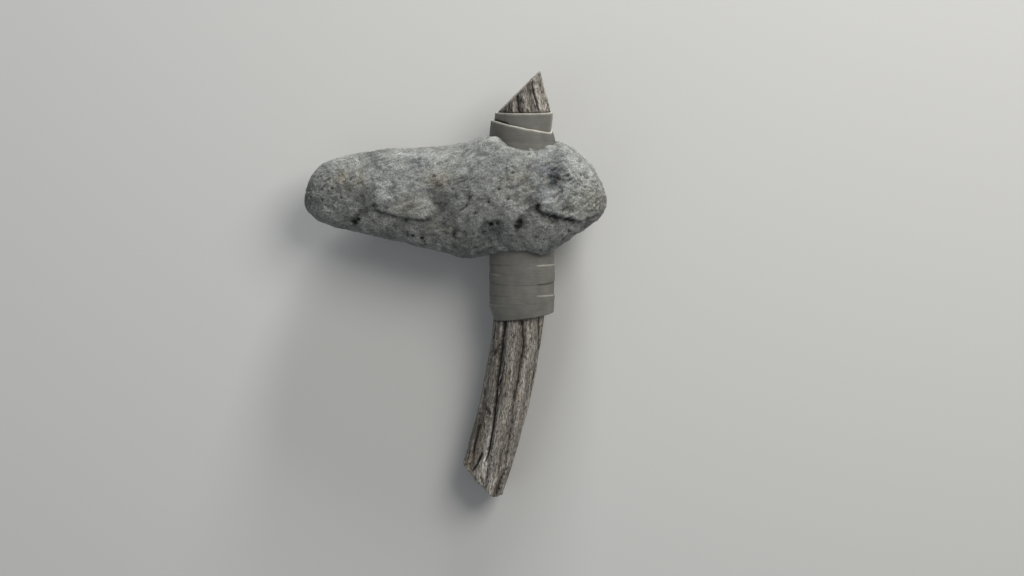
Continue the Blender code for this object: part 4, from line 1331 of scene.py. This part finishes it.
def add_node(tree, kind, settings=None, links=None):
    """Adds a shader node, sets its properties and fills its inputs with values or other sockets."""
    node = tree.nodes.new(kind)
    for name, value in (settings or {}).items():
        setattr(node, name, value)
    for place, source in (links or {}).items():
        if isinstance(source, bpy.types.NodeSocket):
            tree.links.new(source, node.inputs[place])
        else:
            node.inputs[place].default_value = source
    return node


def set_stops(ramp, stops):
    """Gives a colour ramp its stops: place and colour."""
    while len(ramp.elements) > 1:
        ramp.elements.remove(ramp.elements[0])
    ramp.elements[0].position = stops[0][0]
    ramp.elements[0].color = stops[0][1]
    for place, colour in stops[1:]:
        ramp.elements.new(place).color = colour


def new_material(name):
    """An empty material and its node tree."""
    material = bpy.data.materials.new(name)
    material.use_nodes = True
    material.node_tree.nodes.clear()
    return material, material.node_tree


# Inputs of a Mix node that holds colours.
MIX_A, MIX_B, MIX_COLOUR = 6, 7, 2


def boulder_material(settings):
    """Weathered boulder: eroded by water and weather, so it is matt and mottled grey, and speckled
    with mineral grains of about a millimetre. Painted shade darkens its hollows, and it is paler
    where it stands out of its relief."""
    material, tree = new_material("weathered_boulder")
    place = add_node(tree, "ShaderNodeTexCoord").outputs["Object"]
    mask = add_node(tree, "ShaderNodeAttribute", {"attribute_name": "stone_mask"}).outputs["Color"]
    hollow, blue, ochre = add_node(tree, "ShaderNodeSeparateColor", links={"Color": mask}).outputs
    # Noise through the stone: size in millimetres, detail, roughness and warp. Clouds mottle it,
    # grains are drawn 1.1 mm apart, as fine as the picture shows, and pitting roughens its skin.
    clouds, grains, pitting = (
        add_node(
            tree,
            "ShaderNodeTexNoise",
            links={
                "Vector": place,
                "Scale": 1 / (size * MM),
                "Detail": detail,
                "Roughness": roughness,
                "Distortion": warp,
            },
        ).outputs["Fac"]
        for size, detail, roughness, warp in (
            (26, 6.0, 0.62, 0.4),
            (1.1, 3.0, 0.75, 0.0),
            (2.6, 6.0, 0.68, 0.0),
        )
    )
    mottled = add_node(tree, "ShaderNodeValToRGB", links={"Fac": clouds})
    light, mid, dark = (hex_colour(text) for text in (settings.light, settings.mid, settings.dark))
    set_stops(mottled.color_ramp, ((0.24, dark), (0.45, mid), (0.57, mid), (0.78, light)))
    colour = mottled.outputs["Color"]
    for amount, stain in ((blue, settings.blue), (ochre, settings.ochre)):
        stained = add_node(
            tree,
            "ShaderNodeMix",
            {"data_type": "RGBA"},
            {"Factor": amount, MIX_A: colour, MIX_B: hex_colour(stain)},
        )
        colour = stained.outputs[MIX_COLOUR]
    # Grains speckle it, and the depth mask paints shade into hollows and makes what stands out
    # paler: each one's range, and what the colour is multiplied by at its two ends.
    for source, low, high, at_low, at_high in (
        (grains, 0.3, 0.7, 0.38, 1.62),
        (hollow, -1.2, 2.0, 1.36, 0.06),
    ):
        shade = add_node(
            tree,
            "ShaderNodeMapRange",
            links={"Value": source, "From Min": low, "From Max": high, "To Min": at_low, "To Max": at_high},
        )
        shaded = add_node(
            tree,
            "ShaderNodeVectorMath",
            {"operation": "SCALE"},
            {0: colour, "Scale": shade.outputs["Result"]},
        )
        colour = shaded.outputs["Vector"]
    rough_skin = add_node(
        tree, "ShaderNodeBump", links={"Strength": 0.9, "Distance": 0.9 * MM, "Height": pitting}
    )
    matt = add_node(
        tree,
        "ShaderNodeMapRange",
        links={"Value": grains, "From Min": 0.3, "From Max": 0.7, "To Min": 0.92, "To Max": 0.76},
    )
    shader = add_node(
        tree,
        "ShaderNodeBsdfPrincipled",
        links={
            "Base Color": colour,
            "Roughness": matt.outputs["Result"],
            "IOR": 1.54,
            "Specular IOR Level": 0.35,
            "Metallic": 0.0,
            "Normal": rough_skin.outputs["Normal"],
        },
    )
    add_node(tree, "ShaderNodeOutputMaterial", links={"Surface": shader.outputs["BSDF"]})
    return material


def branch_material(settings):
    """Weathered branch wood: bark long gone, the soft wood eaten from between the fibres, so it is
    a matt silver-brown with long pale streaks and brown grooves. Painted shade darkens its fibre grooves
    and furrows and makes its cracks near-black."""
    material, tree = new_material("weathered_branch_wood")
    grain = add_node(tree, "ShaderNodeAttribute", {"attribute_name": "grain"}).outputs["Vector"]
    mask = add_node(tree, "ShaderNodeAttribute", {"attribute_name": "wood_mask"}).outputs["Color"]
    crack, end, streaks_and_depth_shade = add_node(tree, "ShaderNodeSeparateColor", links={"Color": mask}).outputs
    # Noise in the wood: millimetres across the grain and along it, detail and roughness. Fibres
    # fade after 30 mm, streaks are broad, rot has browned patches some 10 mm across, and flecks
    # are where the soft wood has gone.
    patterns = []
    for across, along, detail, roughness in (
        (0.9, 30, 4.0, 0.65),
        (7, 70, 3.0, 0.55),
        (10, 36, 4.0, 0.6),
        (0.9, 3.0, 2.0, 0.7),
    ):
        drawn_out = add_node(
            tree,
            "ShaderNodeMapping",
            links={"Vector": grain, "Scale": (1 / (across * MM), 1 / (across * MM), 1 / (along * MM))},
        )
        noise = add_node(
            tree,
            "ShaderNodeTexNoise",
            links={
                "Vector": drawn_out.outputs["Vector"],
                "Scale": 1.0,
                "Detail": detail,
                "Roughness": roughness,
            },
        )
        patterns.append(noise.outputs["Fac"])
    fibres, streaks, rot, flecks = patterns
    # Pores and insect holes, about 2.4 mm apart and a fifth of that wide.
    spaced = add_node(
        tree,
        "ShaderNodeMapping",
        links={"Vector": grain, "Scale": (1 / (2.4 * MM), 1 / (2.4 * MM), 1 / (3.0 * MM))},
    )
    pores = add_node(
        tree,
        "ShaderNodeTexVoronoi",
        links={"Vector": spaced.outputs["Vector"], "Scale": 1.0, "Randomness": 1.0},
    )
    # The range of each, and what it stands for at the two ends: rot for a share of stain, and
    # the others for what the colour is multiplied by.
    browned, threads, fleck, pore, streaked_and_shaded = (
        add_node(
            tree,
            "ShaderNodeMapRange",
            links={"Value": source, "From Min": low, "From Max": high, "To Min": at_low, "To Max": at_high},
        ).outputs["Result"]
        for source, low, high, at_low, at_high in (
            (rot, 0.52, 0.72, 0.0, 0.5),
            (fibres, 0.3, 0.7, 0.48, 1.42),
            (flecks, 0.36, 0.64, 0.36, 1.62),
            (pores.outputs["Distance"], 0.12, 0.24, 0.22, 1.0),
            # The tone mask: painted shade by the depth of fibre grooves and furrows, with the streaks' own
            # tone.
            (streaks_and_depth_shade, -2.4, 1.3, 2.25, 0.42),
        )
    )
    base, pale, brown = (hex_colour(text) for text in (settings.base, settings.pale, settings.brown))
    bands = add_node(tree, "ShaderNodeValToRGB", links={"Fac": streaks})
    set_stops(bands.color_ramp, ((0.30, brown), (0.45, base), (0.60, base), (0.75, pale)))
    stained = add_node(
        tree,
        "ShaderNodeMix",
        {"data_type": "RGBA"},
        {"Factor": browned, MIX_A: bands.outputs["Color"], MIX_B: hex_colour(settings.stain)},
    )
    scale = threads
    for layer in (fleck, pore):
        product = add_node(tree, "ShaderNodeMath", {"operation": "MULTIPLY"}, {0: scale, 1: layer})
        scale = product.outputs["Value"]
    # The cut ends show yearly rings 1.6 mm apart. The wave texture has 20 waves to its unit.
    rings = add_node(
        tree,
        "ShaderNodeTexWave",
        {"wave_type": "RINGS", "rings_direction": "Z", "wave_profile": "SAW"},
        {
            "Vector": grain,
            "Scale": 1 / (20 * 1.6 * MM),
            "Distortion": 1.2,
            "Detail": 3.0,
            "Detail Scale": 60.0,
        },
    )
    ring_shade = add_node(
        tree,
        "ShaderNodeMapRange",
        links={"Value": rings.outputs["Fac"], "To Min": 0.75, "To Max": 1.12},
    )
    threaded = add_node(
        tree,
        "ShaderNodeVectorMath",
        {"operation": "SCALE"},
        {0: stained.outputs[MIX_COLOUR], "Scale": scale},
    ).outputs["Vector"]
    sides, cut_ends = (
        add_node(
            tree, "ShaderNodeVectorMath", {"operation": "SCALE"}, {0: threaded, "Scale": factor}
        ).outputs["Vector"]
        for factor in (streaked_and_shaded, ring_shade.outputs["Result"])
    )
    ended = add_node(
        tree,
        "ShaderNodeMix",
        {"data_type": "RGBA"},
        {"Factor": end, MIX_A: sides, MIX_B: cut_ends},
    )
    # The crack mask mixes in the near-black colour: painted shade in the cracks and at the seams by the
    # bindings, and the dark of the knots.
    cracked = add_node(
        tree,
        "ShaderNodeMix",
        {"data_type": "RGBA"},
        {"Factor": crack, MIX_A: ended.outputs[MIX_COLOUR], MIX_B: hex_colour(settings.crack)},
    )
    ridged = add_node(
        tree, "ShaderNodeBump", links={"Strength": 0.8, "Distance": 0.5 * MM, "Height": fibres}
    )
    shader = add_node(
        tree,
        "ShaderNodeBsdfPrincipled",
        links={
            "Base Color": cracked.outputs[MIX_COLOUR],
            "Roughness": 0.82,
            "IOR": 1.5,
            "Specular IOR Level": 0.3,
            "Metallic": 0.0,
            "Normal": ridged.outputs["Normal"],
        },
    )
    add_node(tree, "ShaderNodeOutputMaterial", links={"Surface": shader.outputs["BSDF"]})
    return material


def hide_material(name, settings):
    """Dried hide strip: scraped and air-dried, so it is stiff, olive-grey and faintly shiny,
    with fine lines drawn along it. Its edges get painted highlights, broken up by blotches, and its laps
    and gaps painted shade."""
    material, tree = new_material(name)
    strip = add_node(tree, "ShaderNodeAttribute", {"attribute_name": "strip"}).outputs["Vector"]
    place = add_node(tree, "ShaderNodeTexCoord").outputs["Object"]
    mask = add_node(tree, "ShaderNodeAttribute", {"attribute_name": "hide_mask"}).outputs["Color"]
    painted_highlight, laps, _ = add_node(tree, "ShaderNodeSeparateColor", links={"Color": mask}).outputs
    # Lines along the strip, 0.8 mm apart and 25 mm long, and blotches 9 mm across.
    drawn_out = add_node(
        tree,
        "ShaderNodeMapping",
        links={"Vector": strip, "Scale": (1 / (25 * MM), 1 / (0.8 * MM), 1 / (5 * MM))},
    )
    lines, blotches = (
        add_node(
            tree,
            "ShaderNodeTexNoise",
            links={"Vector": vector, "Scale": scale, "Detail": detail, "Roughness": 0.6},
        ).outputs["Fac"]
        for vector, scale, detail in (
            (drawn_out.outputs["Vector"], 1.0, 4.0),
            (place, 1 / (9 * MM), 5.0),
        )
    )
    # The edge colour is the painted highlight, and the shade colour the painted shade of the laps and gaps.
    hide, pale, dark = (hex_colour(text) for text in (settings.hide, settings.edge, settings.shade))
    lined, blotched, patchiness = (
        add_node(
            tree,
            "ShaderNodeMapRange",
            links={"Value": source, "From Min": low, "From Max": high, "To Min": at_low, "To Max": at_high},
        ).outputs["Result"]
        for source, low, high, at_low, at_high in (
            (lines, 0.3, 0.7, 0.88, 1.11),
            (blotches, 0.3, 0.7, 0.86, 1.12),
            (blotches, 0.35, 0.6, 0.55, 1.0),
        )
    )
    # The highlight mask, broken up by the blotches, gives a patchy painted highlight.
    scraped, patchy_highlight = (
        add_node(tree, "ShaderNodeMath", {"operation": "MULTIPLY"}, {0: one, 1: other}).outputs["Value"]
        for one, other in ((lined, blotched), (painted_highlight, patchiness))
    )
    plain = add_node(
        tree, "ShaderNodeVectorMath", {"operation": "SCALE"}, {0: hide[:3], "Scale": scraped}
    )
    colour = plain.outputs["Vector"]
    # Painted shade in the laps and gaps, then the painted highlight.
    for amount, tint in ((laps, dark), (patchy_highlight, pale)):
        tinted = add_node(
            tree,
            "ShaderNodeMix",
            {"data_type": "RGBA"},
            {"Factor": amount, MIX_A: colour, MIX_B: tint},
        )
        colour = tinted.outputs[MIX_COLOUR]
    creased = add_node(
        tree, "ShaderNodeBump", links={"Strength": 0.4, "Distance": 0.35 * MM, "Height": lines}
    )
    pored = add_node(
        tree,
        "ShaderNodeBump",
        links={
            "Strength": 0.5,
            "Distance": 0.5 * MM,
            "Height": blotches,
            "Normal": creased.outputs["Normal"],
        },
    )
    shader = add_node(
        tree,
        "ShaderNodeBsdfPrincipled",
        links={
            "Base Color": colour,
            "Roughness": 0.66,
            "IOR": 1.48,
            "Specular IOR Level": 0.4,
            "Metallic": 0.0,
            "Normal": pored.outputs["Normal"],
        },
    )
    add_node(tree, "ShaderNodeOutputMaterial", links={"Surface": shader.outputs["BSDF"]})
    return material


def stage_material(name, colour, roughness):
    """Matt studio paper: one even pale grey, so that nothing competes with the axe."""
    material, tree = new_material(name)
    shader = add_node(
        tree,
        "ShaderNodeBsdfPrincipled",
        links={"Base Color": hex_colour(colour), "Roughness": roughness},
    )
    add_node(tree, "ShaderNodeOutputMaterial", links={"Surface": shader.outputs["BSDF"]})
    return material


# Sizes and colours that a user may change.


class BoulderSettings(bpy.types.PropertyGroup):
    roughness_height: bpy.props.FloatProperty(
        name="Roughness", description="How high the stone's small relief is", default=1.0, min=0.0, max=2.0
    )
    mouth_wear: bpy.props.FloatProperty(
        name="Mouth wear",
        description="How far the rims of the bore are rubbed down",
        default=0.0008,
        unit="LENGTH",
    )
    light: bpy.props.StringProperty(
        name="Light", description="Its palest grey, as sRGB hex", default="#afb1ae"
    )
    mid: bpy.props.StringProperty(
        name="Middle", description="Its main grey, as sRGB hex", default="#7f817e"
    )
    dark: bpy.props.StringProperty(
        name="Dark", description="Its darkest grey, as sRGB hex", default="#535554"
    )
    blue: bpy.props.StringProperty(
        name="Hollows", description="Blue-grey in hollows, as sRGB hex", default="#6c7479"
    )
    ochre: bpy.props.StringProperty(
        name="Stains", description="Ochre stains, as sRGB hex", default="#8a8062"
    )


class BranchSettings(bpy.types.PropertyGroup):
    crack_depth: bpy.props.FloatProperty(
        name="Crack depth", description="How deep the drying cracks are, against the real ones", default=1.0
    )
    furrow_depth: bpy.props.FloatProperty(
        name="Furrow depth", description="How much deeper than the model's the furrows are", default=0.6
    )
    base: bpy.props.StringProperty(
        name="Wood", description="Weathered wood, as sRGB hex", default="#86827b"
    )
    pale: bpy.props.StringProperty(
        name="Streaks", description="Silvery streaks, as sRGB hex", default="#bab7b1"
    )
    stain: bpy.props.StringProperty(
        name="Stain", description="Browned wood, as sRGB hex", default="#7f715d"
    )
    brown: bpy.props.StringProperty(
        name="Grooves", description="Brown grooves, as sRGB hex", default="#564e43"
    )
    # The near-black colour of the painted shade in cracks and at the seams by the bindings, and of the
    # knots.
    crack: bpy.props.StringProperty(
        name="Cracks", description="Inside of a crack, as sRGB hex", default="#1c1712"
    )


class HideSettings(bpy.types.PropertyGroup):
    lap_height: bpy.props.FloatProperty(
        name="Lap", description="How far one turn stands over the next", default=0.0006, unit="LENGTH"
    )
    strip_end: bpy.props.FloatProperty(
        name="Strip end",
        description="How far the strip's end stands up at the poll side",
        default=0.0016,
        unit="LENGTH",
    )
    hide: bpy.props.StringProperty(
        name="Hide", description="Dried hide, as sRGB hex", default="#71706a"
    )
    # The colour of the painted highlight on the strip's edges.
    edge: bpy.props.StringProperty(
        name="Cut edges", description="Pale cut edges, as sRGB hex", default="#bdbbb0"
    )
    # The colour of the painted shade in the laps and gaps.
    shade: bpy.props.StringProperty(
        name="Laps", description="Dirt in the laps, as sRGB hex", default="#24211c"
    )


class StageSettings(bpy.types.PropertyGroup):
    floor_colour: bpy.props.StringProperty(
        name="Floor", description="Floor, as sRGB hex", default="#c9cac8"
    )
    floor_size: bpy.props.FloatProperty(
        name="Floor size", description="Side of the floor", default=12.0, unit="LENGTH"
    )
    lens: bpy.props.FloatProperty(
        name="Lens", description="Focal length", default=80.0, unit="CAMERA"
    )
    distance: bpy.props.FloatProperty(
        name="Distance",
        description="From the camera to the axe's middle",
        default=VIEW_DISTANCE,
        unit="LENGTH",
    )
    view_tilt: bpy.props.FloatProperty(
        name="View tilt",
        description="How far the camera leans towards the tip from straight above",
        default=VIEW_ANGLE - RESTING_TILT,
        subtype="ANGLE",
    )


# The pieces' operators.


def dress(piece, material, node):
    """Gives a piece its material and its place in the frame."""
    piece.data.materials.clear()
    piece.data.materials.append(material)
    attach(piece, "root")
    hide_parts(node)


class AXE_OT_boulder(bpy.types.Operator):
    """Make the bored boulder head"""

    bl_idname = "stone_axe.boulder"
    bl_label = "Boulder head"

    def execute(self, context):
        settings = context.scene.stone_axe_boulder
        dress(stone_piece(settings), boulder_material(settings), "stone_head")
        return {"FINISHED"}


class AXE_OT_branch(bpy.types.Operator):
    """Make the bent branch that is the haft"""

    bl_idname = "stone_axe.branch"
    bl_label = "Branch haft"

    def execute(self, context):
        settings = context.scene.stone_axe_branch
        dress(haft_piece(settings), branch_material(settings), "haft")
        return {"FINISHED"}


class AXE_OT_bindings(bpy.types.Operator):
    """Make the two bindings of wound hide strip"""

    bl_idname = "stone_axe.bindings"
    bl_label = "Hide bindings"

    def execute(self, context):
        settings = context.scene.stone_axe_hide
        upper = hide_material("dried_hide_upper", settings)
        lower = hide_material("dried_hide_lower", settings)
        dress(upper_piece(settings), upper, "upper_binding")
        dress(lower_piece(settings), lower, "lower_binding")
        return {"FINISHED"}


def area_light(name, place, size, power, colour, aim):
    """A square light at a place that faces the aim."""
    data = bpy.data.lights.new(name, "AREA")
    data.shape = "SQUARE"
    data.size = size
    data.energy = power
    data.color = hex_colour(colour)[:3]
    light = bpy.data.objects.new(name, data)
    light.location = place
    light.rotation_euler = (Vector(aim) - Vector(place)).to_track_quat("-Z", "Y").to_euler()
    bpy.context.scene.collection.objects.link(light)
    return light


class AXE_OT_stage(bpy.types.Operator):
    """Make the floor, the lights and the camera"""

    bl_idname = "stone_axe.stage"
    bl_label = "Stage"

    def execute(self, context):
        settings = context.scene.stone_axe_stage
        half = settings.floor_size / 2
        corners = np.array([(-half, -half, 0), (half, -half, 0), (half, half, 0), (-half, half, 0)])
        floor = make_piece("studio_floor", corners - (0, 0, FLOOR_GAP), np.array([[0, 1, 2, 3]]))
        floor.data.materials.append(stage_material("studio_paper", settings.floor_colour, 0.9))
        middle = laid(np.array(VIEW_CENTRE))
        key, rim, fill = (area_light(*light, middle) for light in LIGHTS)
        world = bpy.data.worlds.new("soft_studio")
        world.use_nodes = True
        sky = world.node_tree.nodes["Background"]
        sky.inputs["Color"].default_value = hex_colour(SKY_COLOUR)
        sky.inputs["Strength"].default_value = SKY_STRENGTH
        context.scene.world = world
        context.scene.view_settings.view_transform = "Standard"
        data = bpy.data.cameras.new("camera")
        data.sensor_width = SENSOR_WIDTH_MM
        data.lens = settings.lens
        data.clip_start = NEAREST_SEEN
        camera = bpy.data.objects.new("camera", data)
        lean = settings.view_tilt
        camera.location = Vector(middle) + settings.distance * Vector((0, math.sin(lean), math.cos(lean)))
        camera.rotation_euler = (-lean, 0, 0)
        context.scene.collection.objects.link(camera)
        context.scene.camera = camera
        return {"FINISHED"}


class AXE_PT_panel(bpy.types.Panel):
    """Lists the axe's sizes, colours and operators"""

    bl_idname = "AXE_PT_panel"
    bl_label = "Stone Axe"
    bl_space_type = "VIEW_3D"
    bl_region_type = "UI"
    bl_category = "Stone Axe"

    def draw(self, context):
        for settings_name, operator in PARTS:
            settings = getattr(context.scene, settings_name)
            box = self.layout.box()
            for name in settings.__annotations__:
                box.prop(settings, name)
            box.operator(operator.bl_idname)


PARTS = (
    ("stone_axe_boulder", AXE_OT_boulder),
    ("stone_axe_branch", AXE_OT_branch),
    ("stone_axe_hide", AXE_OT_bindings),
    ("stone_axe_stage", AXE_OT_stage),
)
SETTINGS = (BoulderSettings, BranchSettings, HideSettings, StageSettings)
CLASSES = (*SETTINGS, *(operator for _, operator in PARTS), AXE_PT_panel)


def register():
    """Registers the classes and gives the scene its settings."""
    for kind in CLASSES:
        bpy.utils.register_class(kind)
    for (name, _), kind in zip(PARTS, SETTINGS):
        setattr(bpy.types.Scene, name, bpy.props.PointerProperty(type=kind))


def unregister():
    """Takes the settings and the classes away again."""
    for name, _ in PARTS:
        delattr(bpy.types.Scene, name)
    for kind in reversed(CLASSES):
        bpy.utils.unregister_class(kind)


def main():
    """Makes every piece and the stage."""
    register()
    bpy.ops.stone_axe.boulder()
    bpy.ops.stone_axe.branch()
    bpy.ops.stone_axe.bindings()
    bpy.ops.stone_axe.stage()


if __name__ == "__main__":
    main()
